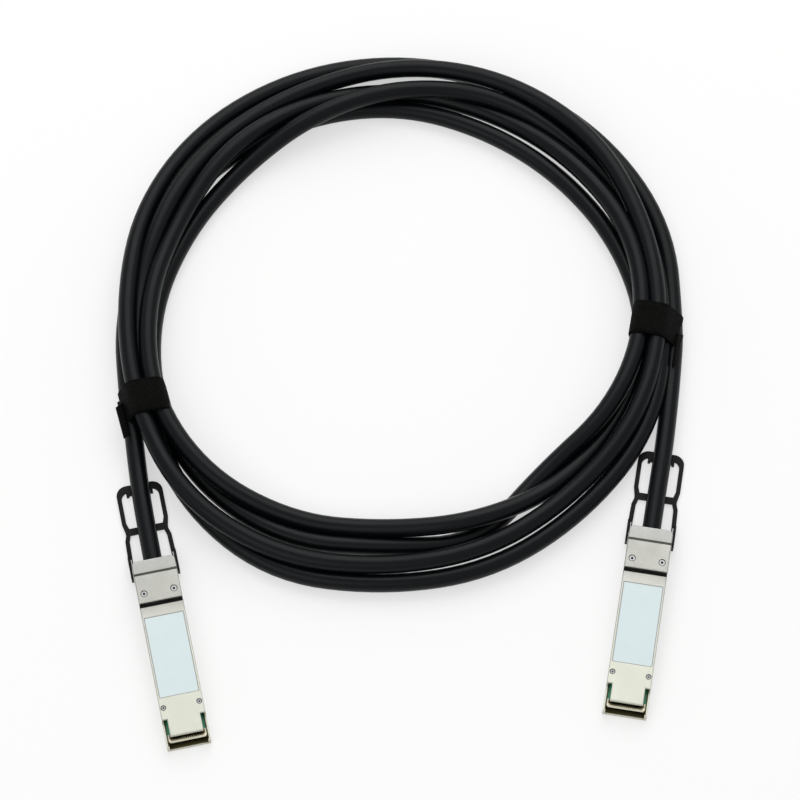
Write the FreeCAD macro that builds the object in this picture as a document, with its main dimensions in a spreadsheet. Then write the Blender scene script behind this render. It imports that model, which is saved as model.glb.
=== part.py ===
import FreeCAD, Part
import math
import os
import re

import Sketcher

# A coiled copper cable with a four-lane pluggable connector on each end, in millimetres.
# Each plug is modelled in its own frame: the origin is at the bottom of its mouth, +Y runs back to the
# cable and +Z is up. The placements then lay the two plugs and the coil on one table top, at Z = 0.
SIZES = {
    # Shells of a plug
    "body_width": 18.35,
    "body_height": 8.5,
    "nose_length": 62.3,
    "hood_length": 18.8,
    "hood_height": 10.2,
    "hood_roof": 0.9,
    "hood_corner": 2.0,
    "shell_wall": 1.1,
    "shell_floor": 1.2,
    "lid_thickness": 1.2,
    "edge_round": 0.4,
    "notch_width": 2.275,
    "tongue_setback": 3.7,
    "notch_length": 11.1,
    "clamp_length": 8.0,
    "band_length": 6.2,
    "groove_width": 0.5,
    "groove_depth": 0.35,
    # Circuit card and what it carries
    "card_side_gap": 0.075,
    "card_thickness": 1.0,
    "card_back_gap": 8.6,
    "card_setback": 2.2,
    "card_top": 4.9,
    "card_chamfer": 0.6,
    "rail_width": 0.95,
    "rail_start": 14.0,
    "pad_count": 19,
    "pad_margin": 0.8,
    "pad_width": 0.5,
    "pad_length": 2.4,
    "pad_thickness": 0.06,
    "pad_setback": 0.5,
    "chip_width": 4.0,
    "chip_length": 4.4,
    "chip_height": 1.1,
    "chip_position": 36.0,
    "capacitor_count": 8,
    "capacitor_pitch": 1.6,
    "capacitor_width": 0.6,
    "capacitor_length": 1.0,
    "capacitor_height": 0.5,
    "capacitor_position": 24.0,
    # Gasket and label
    "gasket_width": 1.5,
    "gasket_depth": 0.6,
    "gasket_sink": 0.12,
    "gasket_bottom": 6.0,
    "seat_gap": 0.05,
    "label_side_gap": 0.875,
    "label_back_gap": 4.6,
    "label_front": 20.65,
    "label_depth": 0.2,
    "label_thickness": 0.12,
    "label_corner": 0.8,
    # Screws
    "hood_screw_inset": 2.875,
    "hood_screw_setback": 4.0,
    "hood_boss": 3.6,
    "hood_head": 2.7,
    "hood_head_height": 0.8,
    "hood_shank": 1.5,
    "hood_shank_length": 6.0,
    "hood_socket": 1.3,
    "front_screw_inset": 1.675,
    "front_screw_position": 16.25,
    "front_boss": 2.3,
    "front_head": 1.9,
    "front_head_height": 0.5,
    "front_shank": 1.0,
    "front_shank_length": 4.6,
    "front_socket": 0.9,
    "socket_depth": 0.35,
    "head_sink": 0.2,
    "screw_gap": 0.1,
    # Latch arms, their channels and springs
    "channel_depth": 0.55,
    "channel_bottom": 1.9,
    "channel_height": 2.8,
    "channel_reach": 30.6,
    "latch_reach": 27.1,
    "latch_nose": 1.2,
    "latch_thickness": 0.4,
    "latch_tail": 3.2,
    "slide_gap": 0.08,
    "pocket_reach": 18.6,
    "pocket_length": 8.0,
    "pocket_depth": 1.0,
    "pocket_height": 1.5,
    "tang_thickness": 0.6,
    "spring_strip": 0.3,
    "spring_folds": 8,
    # Pull tab
    "arm_reach": 1.125,
    "tab_reach": 0.7,
    "waist_inset": 0.1,
    "tab_bottom": 0.2,
    "tab_thickness": 1.25,
    "tab_gap": 0.3,
    "tab_side_gap": 0.12,
    "tab_corner": 4.5,
    "bar_width": 1.9,
    "lower_window": 15.35,
    "crossbar": 2.9,
    "upper_window": 16.4,
    "end_bar": 3.0,
    "waist_slope": 2.6,
    "window_corner": 3.0,
    "grip_width": 11.4,
    "grip_depth": 1.6,
    "grip_tooth": 0.6,
    "tooth_width": 1.2,
    "arm_overlap": 5.6,
    "arm_low": 0.8,
    "arm_high": 4.9,
    "arm_shoulder": 2.0,
    "arm_root": 5.4,
    # Cable
    "cable_diameter": 7.9,
    "cable_height": 5.5,
    "cable_gap": 0.1,
    "jacket_entry": 4.0,
    "tail_straight": 18.0,
    "ferrule_gap": 0.2,
    "pair_diameter": 1.2,
    "pair_pitch": 1.4,
    "pair_columns": 4,
    "pair_lap": 2.5,
    # Coil and ties
    "coil_x": -3.64,
    "coil_y": 127.27,
    "coil_width": 247.0,
    "coil_depth": 254.4,
    "coil_height": 17.2,
    "bundle_side": 22.9,
    "bundle_front": 31.9,
    "bundle_round": 7.5,
    "tie_width": 15.0,
    "tie_thickness": 1.2,
    "tie_opening": 24.2,
    "tie_round": 5.0,
    "tie_gap": 0.3,
    "flap_length": 9.0,
    "flap_height": 9.0,
    "left_tie_angle": 200.9,
    "left_strap_angle": 190.0,
    "right_tie_angle": -2.9,
    "right_strap_angle": -9.5,
    # Places of the plugs on the table
    "left_plug_x": -86.817,
    "left_plug_y": -64.593,
    "left_plug_angle": 12.0,
    "right_plug_x": 92.055,
    "right_plug_y": -51.608,
    "right_plug_angle": -9.3,
}
SIDES = ("left", "right")
PLUG_LENGTH = "(nose_length + hood_length)"
HALF_WIDTH = "(body_width / 2)"
INNER_HALF = "(body_width / 2 - shell_wall)"
CARD_HALF = "(body_width / 2 - shell_wall - card_side_gap)"
CARD_BOTTOM = "(card_top - card_thickness)"
CARD_BACK = "(nose_length - card_back_gap)"
LABEL_BACK = "(nose_length - gasket_width - label_back_gap)"
SCREW_SPOTS = {
    "hood": ("(body_width / 2 - hood_screw_inset)", "(nose_length + hood_screw_setback)"),
    "front": ("(body_width / 2 - front_screw_inset)", "front_screw_position"),
}
FERRULE_LENGTH = "(hood_length - jacket_entry - hood_screw_setback - hood_boss / 2 - ferrule_gap)"
CHANNEL_FLOOR = "(body_width / 2 - channel_depth)"
CHANNEL_FRONT = "(nose_length - channel_reach)"
LATCH_FRONT = "(nose_length - latch_reach)"
POCKET_FRONT = "(nose_length - pocket_reach)"
LATCH_OUTSIDE = "(body_width / 2 - channel_depth + slide_gap + latch_thickness)"
TAB_TOP = "(tab_bottom + tab_thickness)"
TAB_FRONT = "(nose_length + hood_length + tab_gap)"

doc = FreeCAD.newDocument("CableAssembly")
sheet = doc.addObject("Spreadsheet::Sheet", "Sizes")
for row, (alias, value) in enumerate(SIZES.items(), 1):
    sheet.set(f"A{row}", alias)
    sheet.set(f"B{row}", str(value))
    sheet.setAlias(f"B{row}", alias)
doc.recompute()


# Expressions and sketches

def size(alias):
    """The number in a cell of the sheet."""
    return float(sheet.get(alias))


def cells(text):
    """An expression with each size's name written as its cell of the sheet."""
    return re.sub(r"[a-z]+(?:_[a-z]+)*", lambda word: "Sizes." + word.group(0), text)


def bind(feature, **expressions):
    """Tie properties of a feature to expressions of the sheet's sizes."""
    for prop, text in expressions.items():
        feature.setExpression(prop.replace("__", "."), cells(text))


def pin(drawing, geometry, point, across, along):
    """Fix a point of a sketch by its two coordinates."""
    for kind, text in (("DistanceX", across), ("DistanceY", along)):
        index = drawing.addConstraint(Sketcher.Constraint(kind, -1, 1, geometry, point, 1.0))
        drawing.setExpression(f"Constraints[{index}]", cells(text))


def draw_polygon(drawing, corners):
    """A closed polygon whose corners are pairs of expressions."""
    first = drawing.GeometryCount
    count = len(corners)
    spots = []
    for index in range(count):
        angle = 2 * math.pi * index / count
        spots.append(FreeCAD.Vector(math.cos(angle), math.sin(angle), 0))
    for index in range(count):
        drawing.addGeometry(Part.LineSegment(spots[index], spots[(index + 1) % count]), False)
    for index in range(count):
        following = first + (index + 1) % count
        drawing.addConstraint(Sketcher.Constraint("Coincident", first + index, 2, following, 1))
    for index, (across, along) in enumerate(corners):
        pin(drawing, first + index, 1, across, along)


def draw_circle(drawing, across, along, radius):
    """A circle with its centre and radius given by expressions."""
    circle = Part.Circle(FreeCAD.Vector(0, 0, 0), FreeCAD.Vector(0, 0, 1), 1.0)
    index = drawing.addGeometry(circle, False)
    constraint = drawing.addConstraint(Sketcher.Constraint("Radius", index, 1.0))
    drawing.setExpression(f"Constraints[{constraint}]", cells(radius))
    pin(drawing, index, 3, across, along)


def rectangle(left, right, front, back):
    """Corners of a rectangle, anticlockwise."""
    return [(left, front), (right, front), (right, back), (left, back)]


def centred(half, front, back):
    """Corners of a rectangle that is symmetric about the sketch's vertical axis."""
    return rectangle(f"-({half})", half, front, back)


def both_sides(corners):
    """An outline and its mirror image across the plug."""
    mirrored = [(f"-({across})", along) for across, along in reversed(corners)]
    return [corners, mirrored]


def symmetric(right_side):
    """A closed outline from its right side, given from front to back, and that side's mirror image."""
    left_side = [(f"-({across})", along) for across, along in reversed(right_side)]
    return right_side + left_side


def pair_of_circles(spot, radius):
    """A circle at a spot and its mirror image across the plug."""
    across, along = spot
    return [(across, along, radius), (f"-{across}", along, radius)]


def prism(body, kind, name, plane, level, length, outlines):
    """Pad or pocket a sketch from a level along the plane's normal.

    The XZ plane's normal points to -Y, so there the level is -Y.
    """
    support = [feature for feature in body.Origin.OriginFeatures if feature.Role == plane][0]
    drawing = body.newObject("Sketcher::SketchObject", name + "Outline")
    drawing.AttachmentSupport = [(support, "")]
    drawing.MapMode = "FlatFace"
    bind(drawing, AttachmentOffset__Base__z=level)
    for outline in outlines:
        if isinstance(outline, tuple):
            draw_circle(drawing, *outline)
        else:
            draw_polygon(drawing, outline)
    feature = body.newObject("PartDesign::" + kind, name)
    feature.Profile = drawing
    bind(feature, Length=length)
    feature.Reversed = kind == "Pocket"
    doc.recompute()
    return feature


def round_edges(body, name, radius, chosen):
    """Fillet the edges of the body so far that pass a test."""
    base = body.Tip
    names = [f"Edge{index}" for index, edge in enumerate(base.Shape.Edges, 1) if chosen(edge)]
    fillet = body.newObject("PartDesign::Fillet", name)
    fillet.Base = (base, names)
    bind(fillet, Radius=radius)
    doc.recompute()
    return fillet


def is_upright(edge):
    """True for an edge along Z."""
    box = edge.BoundBox
    return box.ZLength > 0.01 and box.XLength < 0.001 and box.YLength < 0.001


def lies_at(value, target):
    """True where two lengths are the same to a micrometre."""
    return abs(value - target) < 0.001


parts = []


def finish(feature, label, place=None):
    """Name a sub-part, set it in its place and put it on the list to export."""
    feature.Label = label
    if place:
        bind(
            feature,
            Placement__Base__x=f"{place}_plug_x",
            Placement__Base__y=f"{place}_plug_y",
            Placement__Rotation__Angle=f"{place}_plug_angle",
        )
    parts.append(feature)


def both_hands(side, label, body):
    """A piece and its mirror image across the plug, as one group."""
    mirror = doc.addObject("Part::Mirroring", label + "Mirror")
    mirror.Source = body
    mirror.Normal = FreeCAD.Vector(1, 0, 0)
    group = doc.addObject("Part::Compound", label + "Pair")
    group.Links = [body, mirror]
    finish(group, label, side)


# Pieces of a plug

def wraparound(top, depth, low):
    """Outline of a strip over the top and down both sides of a shell, as deep as given."""
    outside = f"{HALF_WIDTH} + shell_wall"
    inside = f"{HALF_WIDTH} - {depth}"
    return [
        (f"-({outside})", low),
        (f"-({inside})", low),
        (f"-({inside})", f"{top} - {depth}"),
        (inside, f"{top} - {depth}"),
        (inside, low),
        (outside, low),
        (outside, f"{top} + shell_wall"),
        (f"-({outside})", f"{top} + shell_wall"),
    ]


def cable_seat(body):
    """Half of the round clamp that the jacket leaves the hood through."""
    bore = ("0", "cable_height", "cable_diameter / 2 + cable_gap")
    prism(body, "Pocket", "CableSeat", "XZ_Plane", f"-{PLUG_LENGTH}", "clamp_length", [bore])


def hood_corners(body):
    """Round the upright corners at the back of the hood."""
    rear = size("nose_length") + size("hood_length")

    def at_back(edge):
        return is_upright(edge) and lies_at(edge.CenterOfMass.y, rear)

    round_edges(body, "HoodCorners", "hood_corner", at_back)


def lower_shell(side):
    body = doc.addObject("PartDesign::Body", side + "LowerShell")
    prism(body, "Pad", "Block", "XY_Plane", "0", "cable_height", [centred(HALF_WIDTH, "0", PLUG_LENGTH)])
    hood_corners(body)

    def around_floor(edge):
        return lies_at(edge.BoundBox.ZMax, 0)

    round_edges(body, "FloorRound", "edge_round", around_floor)
    room = centred(INNER_HALF, "-shell_wall", f"{PLUG_LENGTH} - clamp_length")
    prism(body, "Pocket", "Room", "XY_Plane", "shell_floor", "cable_height - shell_floor", [room])
    rail = rectangle(f"{INNER_HALF} - rail_width", INNER_HALF, "rail_start", CARD_BACK)
    prism(body, "Pad", "Rails", "XY_Plane", "shell_floor", f"{CARD_BOTTOM} - shell_floor", both_sides(rail))
    bosses = pair_of_circles(SCREW_SPOTS["hood"], "hood_boss / 2")
    prism(body, "Pad", "HoodBosses", "XY_Plane", "shell_floor", "cable_height - shell_floor", bosses)
    bosses = pair_of_circles(SCREW_SPOTS["front"], "front_boss / 2")
    prism(body, "Pad", "FrontBosses", "XY_Plane", "shell_floor", "cable_height - shell_floor", bosses)
    cable_seat(body)
    channel_back = f"{PLUG_LENGTH} + shell_wall"
    channel = rectangle(CHANNEL_FLOOR, f"{HALF_WIDTH} + shell_wall", CHANNEL_FRONT, channel_back)
    prism(body, "Pocket", "Channels", "XY_Plane", "channel_bottom", "channel_height", both_sides(channel))
    pocket_back = f"{POCKET_FRONT} + pocket_length"
    pocket = rectangle(f"{CHANNEL_FLOOR} - pocket_depth", HALF_WIDTH, POCKET_FRONT, pocket_back)
    pockets = both_sides(pocket)
    prism(body, "Pocket", "SpringPockets", "XY_Plane", "channel_bottom", "pocket_height", pockets)
    holes = pair_of_circles(SCREW_SPOTS["hood"], "hood_shank / 2 + screw_gap")
    prism(body, "Pocket", "HoodHoles", "XY_Plane", "shell_floor", "cable_height", holes)
    holes = pair_of_circles(SCREW_SPOTS["front"], "front_shank / 2 + screw_gap")
    prism(body, "Pocket", "FrontHoles", "XY_Plane", "shell_floor", "cable_height", holes)
    finish(body, side + "_lower_shell", side)


def upper_shell(side):
    body = doc.addObject("PartDesign::Body", side + "UpperShell")
    tongue = f"({HALF_WIDTH} - notch_width)"
    lid = [
        (f"-{tongue}", "tongue_setback"),
        (tongue, "tongue_setback"),
        (tongue, "notch_length"),
        (HALF_WIDTH, "notch_length"),
        (HALF_WIDTH, "nose_length"),
        (f"-{HALF_WIDTH}", "nose_length"),
        (f"-{HALF_WIDTH}", "notch_length"),
        (f"-{tongue}", "notch_length"),
    ]
    prism(body, "Pad", "Lid", "XY_Plane", "cable_height", "body_height - cable_height", [lid])
    hood = centred(HALF_WIDTH, "nose_length", PLUG_LENGTH)
    prism(body, "Pad", "Hood", "XY_Plane", "cable_height", "hood_height - cable_height", [hood])
    hood_corners(body)

    def around_top(edge):
        middle = edge.BoundBox.Center
        on_hood = lies_at(edge.BoundBox.ZMin, size("hood_height"))
        on_lid = lies_at(edge.BoundBox.ZMin, size("body_height")) and middle.y < size("nose_length") - 0.01
        return on_hood or on_lid

    round_edges(body, "TopRound", "edge_round", around_top)
    room = [
        (f"-{HALF_WIDTH}", "tongue_setback - shell_wall"),
        (HALF_WIDTH, "tongue_setback - shell_wall"),
        (HALF_WIDTH, "notch_length"),
        (INNER_HALF, "notch_length"),
        (INNER_HALF, f"{PLUG_LENGTH} - clamp_length"),
        (f"-{INNER_HALF}", f"{PLUG_LENGTH} - clamp_length"),
        (f"-{INNER_HALF}", "notch_length"),
        (f"-{HALF_WIDTH}", "notch_length"),
    ]
    ceiling = "(body_height - lid_thickness)"
    prism(body, "Pocket", "Room", "XY_Plane", "cable_height", f"{ceiling} - cable_height", [room])
    hood_room = centred(INNER_HALF, "nose_length + shell_wall", f"{PLUG_LENGTH} - clamp_length")
    hood_rise = f"hood_height - hood_roof - {ceiling}"
    prism(body, "Pocket", "HoodRoom", "XY_Plane", ceiling, hood_rise, [hood_room])
    bosses = pair_of_circles(SCREW_SPOTS["hood"], "hood_boss / 2")
    boss_height = "hood_height - hood_roof - cable_height"
    prism(body, "Pad", "HoodBosses", "XY_Plane", "cable_height", boss_height, bosses)
    bosses = pair_of_circles(SCREW_SPOTS["front"], "front_boss / 2")
    prism(body, "Pad", "FrontBosses", "XY_Plane", "cable_height", f"{ceiling} - cable_height", bosses)
    cable_seat(body)
    slot = wraparound("body_height", "gasket_depth", "gasket_bottom")
    prism(body, "Pocket", "GasketSlot", "XZ_Plane", "-nose_length", "gasket_width", [slot])
    groove = wraparound("hood_height", "groove_depth", "cable_height - shell_wall")
    band_front = f"-({PLUG_LENGTH} - band_length)"
    prism(body, "Pocket", "BandGroove", "XZ_Plane", band_front, "groove_width", [groove])
    recess_half = f"{HALF_WIDTH} - label_side_gap + seat_gap"
    recess = centred(recess_half, "label_front - seat_gap", f"{LABEL_BACK} + seat_gap")
    prism(body, "Pocket", "LabelRecess", "XY_Plane", "body_height - label_depth", "label_depth", [recess])
    for name, top in (("hood", "hood_height"), ("front", "body_height")):
        spot = SCREW_SPOTS[name]
        holes = pair_of_circles(spot, f"{name}_shank / 2 + screw_gap")
        prism(body, "Pocket", name + "Holes", "XY_Plane", "cable_height", f"{top} - cable_height", holes)
        seats = pair_of_circles(spot, f"{name}_head / 2 + screw_gap")
        seat_depth = f"{name}_head_height + head_sink"
        prism(body, "Pocket", name + "Seats", "XY_Plane", f"{top} - ({seat_depth})", seat_depth, seats)
    finish(body, side + "_upper_shell", side)


def paddle_card(side):
    body = doc.addObject("PartDesign::Body", side + "PaddleCard")
    outline = [
        (f"-({CARD_HALF} - card_chamfer)", "card_setback"),
        (f"{CARD_HALF} - card_chamfer", "card_setback"),
        (CARD_HALF, "card_setback + card_chamfer"),
        (CARD_HALF, CARD_BACK),
        (f"-{CARD_HALF}", CARD_BACK),
        (f"-{CARD_HALF}", "card_setback + card_chamfer"),
    ]
    prism(body, "Pad", "Board", "XY_Plane", CARD_BOTTOM, "card_thickness", [outline])
    notches = pair_of_circles(SCREW_SPOTS["front"], "front_boss / 2 + screw_gap")
    prism(body, "Pocket", "Notches", "XY_Plane", CARD_BOTTOM, "card_thickness", notches)
    finish(body, side + "_paddle_card", side)


def boxes_on_card(side, label, blocks):
    """A group of small boxes, each given by its corner and its three lengths."""
    solids = [Part.makeBox(*lengths, FreeCAD.Vector(*corner)) for corner, lengths in blocks]
    group = doc.addObject("Part::Feature", label + "Group")
    group.Shape = Part.makeCompound(solids)
    finish(group, label, side)


def contact_pads(side):
    lengths = (size("pad_width"), size("pad_length"), size("pad_thickness"))
    front = size("card_setback") + size("pad_setback")
    levels = (size("card_top"), size("card_top") - size("card_thickness") - size("pad_thickness"))
    count = int(size("pad_count"))
    card_width = size("body_width") - 2 * size("shell_wall") - 2 * size("card_side_gap")
    pitch = (card_width - 2 * size("pad_margin")) / (count - 1)
    blocks = []
    for level in levels:
        for index in range(count):
            middle = (index - (count - 1) / 2) * pitch
            blocks.append(((middle - lengths[0] / 2, front, level), lengths))
    boxes_on_card(side, side + "_contact_pads", blocks)


def memory_chip(side):
    lengths = (size("chip_width"), size("chip_length"), size("chip_height"))
    corner = (-lengths[0] / 2, size("chip_position") - lengths[1] / 2, size("card_top"))
    boxes_on_card(side, side + "_memory_chip", [(corner, lengths)])


def coupling_capacitors(side):
    lengths = (size("capacitor_width"), size("capacitor_length"), size("capacitor_height"))
    count = int(size("capacitor_count"))
    blocks = []
    for index in range(count):
        middle = (index - (count - 1) / 2) * size("capacitor_pitch")
        corner = (middle - lengths[0] / 2, size("capacitor_position"), size("card_top"))
        blocks.append((corner, lengths))
    boxes_on_card(side, side + "_coupling_capacitors", blocks)


def shield_gasket(side):
    body = doc.addObject("PartDesign::Body", side + "ShieldGasket")
    outside = f"{HALF_WIDTH} - gasket_sink"
    inside = f"{HALF_WIDTH} - gasket_depth + seat_gap"
    top = "body_height - gasket_sink"
    under = "body_height - gasket_depth + seat_gap"
    foot = "gasket_bottom + seat_gap"
    strip = [
        (f"-({outside})", foot),
        (f"-({inside})", foot),
        (f"-({inside})", under),
        (inside, under),
        (inside, foot),
        (outside, foot),
        (outside, top),
        (f"-({outside})", top),
    ]
    level = "-(nose_length - seat_gap)"
    prism(body, "Pad", "Strip", "XZ_Plane", level, "gasket_width - 2 * seat_gap", [strip])
    finish(body, side + "_shield_gasket", side)


def label_plate(side):
    body = doc.addObject("PartDesign::Body", side + "Label")
    outline = centred(f"{HALF_WIDTH} - label_side_gap", "label_front", LABEL_BACK)
    prism(body, "Pad", "Film", "XY_Plane", "body_height - label_depth", "label_thickness", [outline])
    round_edges(body, "Corners", "label_corner", is_upright)
    finish(body, side + "_label", side)


def screw_pair(side, name, top):
    """Two socket screws that draw the shells together."""
    body = doc.addObject("PartDesign::Body", side + name.title() + "Screw")
    centre = SCREW_SPOTS[name]
    seat = f"{top} - head_sink - {name}_head_height"
    prism(body, "Pad", "Head", "XY_Plane", seat, f"{name}_head_height", [(*centre, f"{name}_head / 2")])
    foot = f"{seat} - {name}_shank_length"
    prism(body, "Pad", "Shank", "XY_Plane", foot, f"{name}_shank_length", [(*centre, f"{name}_shank / 2")])
    socket = []
    for corner in range(6):
        across = f"{centre[0]} + {name}_socket / 2 * {math.cos(math.radians(60 * corner)):.6f}"
        along = f"{centre[1]} + {name}_socket / 2 * {math.sin(math.radians(60 * corner)):.6f}"
        socket.append((across, along))
    socket_floor = f"{top} - head_sink - socket_depth"
    prism(body, "Pocket", "Socket", "XY_Plane", socket_floor, "socket_depth", [socket])
    both_hands(side, f"{side}_{name}_screws", body)


def latch_arms(side):
    body = doc.addObject("PartDesign::Body", side + "LatchArm")
    low = "channel_bottom + slide_gap"
    high = "channel_bottom + channel_height - slide_gap"
    back = f"{PLUG_LENGTH} + latch_tail"
    strip = [
        (LATCH_FRONT, f"{low} + latch_nose"),
        (f"{LATCH_FRONT} + latch_nose", low),
        (back, low),
        (back, high),
        (LATCH_FRONT, high),
    ]
    prism(body, "Pad", "Strip", "YZ_Plane", f"{CHANNEL_FLOOR} + slide_gap", "latch_thickness", [strip])
    tang = rectangle(
        f"{CHANNEL_FLOOR} - pocket_depth + slide_gap",
        f"{CHANNEL_FLOOR} + slide_gap + latch_thickness / 2",
        f"{POCKET_FRONT} + slide_gap",
        f"{POCKET_FRONT} + slide_gap + tang_thickness",
    )
    prism(body, "Pad", "Tang", "XY_Plane", low, "pocket_height - 2 * slide_gap", [tang])
    both_hands(side, side + "_latch_arms", body)


def return_springs(side):
    """Flat zigzag springs between the tangs and the back walls of their pockets."""
    body = doc.addObject("PartDesign::Body", side + "ReturnSpring")
    start = f"({POCKET_FRONT} + 2 * slide_gap + tang_thickness)"
    run = f"(({POCKET_FRONT} + pocket_length - slide_gap - {start}) / spring_folds)"
    low = "channel_bottom + slide_gap"
    high = "channel_bottom + pocket_height - slide_gap - spring_strip"
    under_edge = []
    for fold in range(int(size("spring_folds")) + 1):
        under_edge.append((f"{start} + {fold} * {run}", high if fold % 2 else low))
    over_edge = [(along, f"{level} + spring_strip") for along, level in reversed(under_edge)]
    level = f"{CHANNEL_FLOOR} - pocket_depth + slide_gap"
    prism(body, "Pad", "Zigzag", "YZ_Plane", level, "pocket_depth - slide_gap", [under_edge + over_edge])
    both_hands(side, side + "_return_springs", body)


def pull_tab(side):
    body = doc.addObject("PartDesign::Body", side + "PullTab")
    arm_half = f"({HALF_WIDTH} + arm_reach)"
    loop_half = f"({HALF_WIDTH} + tab_reach)"
    waist_half = f"({HALF_WIDTH} - waist_inset)"
    crossbar_front = f"{PLUG_LENGTH} + lower_window"
    window_front = f"{crossbar_front} + crossbar"
    window_back = f"{window_front} + upper_window"
    end = f"{window_back} + end_bar"
    outside = [
        (arm_half, TAB_FRONT),
        (loop_half, f"{crossbar_front} - waist_slope"),
        (waist_half, crossbar_front),
        (waist_half, f"{crossbar_front} + crossbar / 2"),
        (loop_half, f"{window_front} + waist_slope"),
        (loop_half, end),
    ]
    prism(body, "Pad", "Loop", "XY_Plane", "tab_bottom", "tab_thickness", [symmetric(outside)])

    plug_length = size("nose_length") + size("hood_length")
    back = plug_length + size("lower_window") + size("crossbar") + size("upper_window")

    def at_end(edge):
        return is_upright(edge) and lies_at(edge.CenterOfMass.y, back + size("end_bar"))

    round_edges(body, "EndCorners", "tab_corner", at_end)
    lower_window = [
        (f"{arm_half} - bar_width", f"{TAB_FRONT} - tab_gap"),
        (f"{loop_half} - bar_width", f"{crossbar_front} - waist_slope"),
        (f"{waist_half} - bar_width", crossbar_front),
    ]
    upper_window = [
        (f"{waist_half} - bar_width", window_front),
        (f"{loop_half} - bar_width", f"{window_front} + waist_slope"),
        (f"{loop_half} - bar_width", window_back),
    ]
    windows = [symmetric(lower_window), symmetric(upper_window)]
    prism(body, "Pocket", "Windows", "XY_Plane", "tab_bottom", "tab_thickness", windows)

    def in_window(edge):
        return is_upright(edge) and lies_at(edge.CenterOfMass.y, back)

    round_edges(body, "WindowCorners", "window_corner", in_window)
    tooth = f"{window_back} - grip_depth - grip_tooth"
    grip = [
        ("grip_width / 2 - tooth_width", f"{window_back} - grip_depth"),
        ("grip_width / 2 - tooth_width", tooth),
        ("grip_width / 2", tooth),
        ("grip_width / 2", window_back),
    ]
    prism(body, "Pad", "Grip", "XY_Plane", "tab_bottom", "tab_thickness", [symmetric(grip)])
    arm = [
        (f"{PLUG_LENGTH} - arm_overlap", "arm_low"),
        (TAB_FRONT, "arm_low"),
        (TAB_FRONT, "tab_bottom"),
        (f"{TAB_FRONT} + arm_root", "tab_bottom"),
        (f"{TAB_FRONT} + arm_root", TAB_TOP),
        (f"{TAB_FRONT} + arm_shoulder", "arm_high"),
        (f"{PLUG_LENGTH} - arm_overlap", "arm_high"),
    ]
    plate = "arm_reach - tab_side_gap"
    root = [point for point in arm if "arm_overlap" not in point[0] and point != (TAB_FRONT, "arm_low")]
    root.append((TAB_FRONT, "arm_high"))
    lap = f"{HALF_WIDTH} + tab_side_gap - {LATCH_OUTSIDE}"
    prism(body, "Pad", "RightArm", "YZ_Plane", f"{HALF_WIDTH} + tab_side_gap", plate, [arm])
    prism(body, "Pad", "RightLap", "YZ_Plane", LATCH_OUTSIDE, lap, [root])
    prism(body, "Pad", "LeftArm", "YZ_Plane", f"-{arm_half}", plate, [arm])
    prism(body, "Pad", "LeftLap", "YZ_Plane", f"-({HALF_WIDTH} + tab_side_gap)", lap, [root])
    finish(body, side + "_pull_tab", side)


def crimp_ferrule(side):
    body = doc.addObject("PartDesign::Body", side + "CrimpFerrule")
    hexagon = []
    for corner in range(6):
        across = f"cable_diameter / 2 * {math.cos(math.radians(60 * corner)):.6f}"
        along = f"cable_height + cable_diameter / 2 * {math.sin(math.radians(60 * corner)):.6f}"
        hexagon.append((across, along))
    level = f"-({PLUG_LENGTH} - jacket_entry)"
    prism(body, "Pad", "Crimp", "XZ_Plane", level, FERRULE_LENGTH, [hexagon])
    finish(body, side + "_crimp_ferrule", side)


def twinax_pairs(side):
    radius = size("pair_diameter") / 2
    boss_back = size("nose_length") + size("hood_screw_setback") + size("hood_boss") / 2
    back = boss_back + size("ferrule_gap")
    front = size("nose_length") - size("card_back_gap") - size("pair_lap")
    clear = radius + size("seat_gap")
    levels = (size("card_top") + clear, size("card_top") - size("card_thickness") - clear)
    count = int(size("pair_columns"))
    pairs = []
    for level in levels:
        for index in range(count):
            across = (index - (count - 1) / 2) * size("pair_pitch")
            foot = FreeCAD.Vector(across, front, level)
            pairs.append(Part.makeCylinder(radius, back - front, foot, FreeCAD.Vector(0, 1, 0)))
    group = doc.addObject("Part::Feature", side + "TwinaxPairs")
    group.Shape = Part.makeCompound(pairs)
    finish(group, side + "_twinax_pairs", side)


# Cable, coil and ties

def plug_point(side, back, level):
    """A point on a plug's middle line, this far behind its mouth."""
    turn = math.radians(size(side + "_plug_angle"))
    across = size(side + "_plug_x") - back * math.sin(turn)
    along = size(side + "_plug_y") + back * math.cos(turn)
    return FreeCAD.Vector(across, along, level)


def rounded_route(points):
    """Straight runs joined by tangent arcs as large as the runs allow."""
    edges = []
    radii = []
    start = points[0]
    for before, corner, after in zip(points, points[1:], points[2:]):
        inward = (before - corner).normalize()
        outward = (after - corner).normalize()
        half_turn = (math.pi - inward.getAngle(outward)) / 2
        shorter = min((before - corner).Length, (after - corner).Length)
        trim = 0.45 * shorter
        radius = trim / math.tan(half_turn)
        radii.append(radius)
        entry = corner + inward * trim
        leave = corner + outward * trim
        bisector = (inward + outward).normalize()
        middle = corner + bisector * (radius / math.cos(half_turn) - radius)
        edges.append(Part.LineSegment(start, entry).toShape())
        edges.append(Part.Arc(entry, middle, leave).toShape())
        start = leave
    edges.append(Part.LineSegment(start, points[-1]).toShape())
    return Part.Wire(edges), radii


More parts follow.
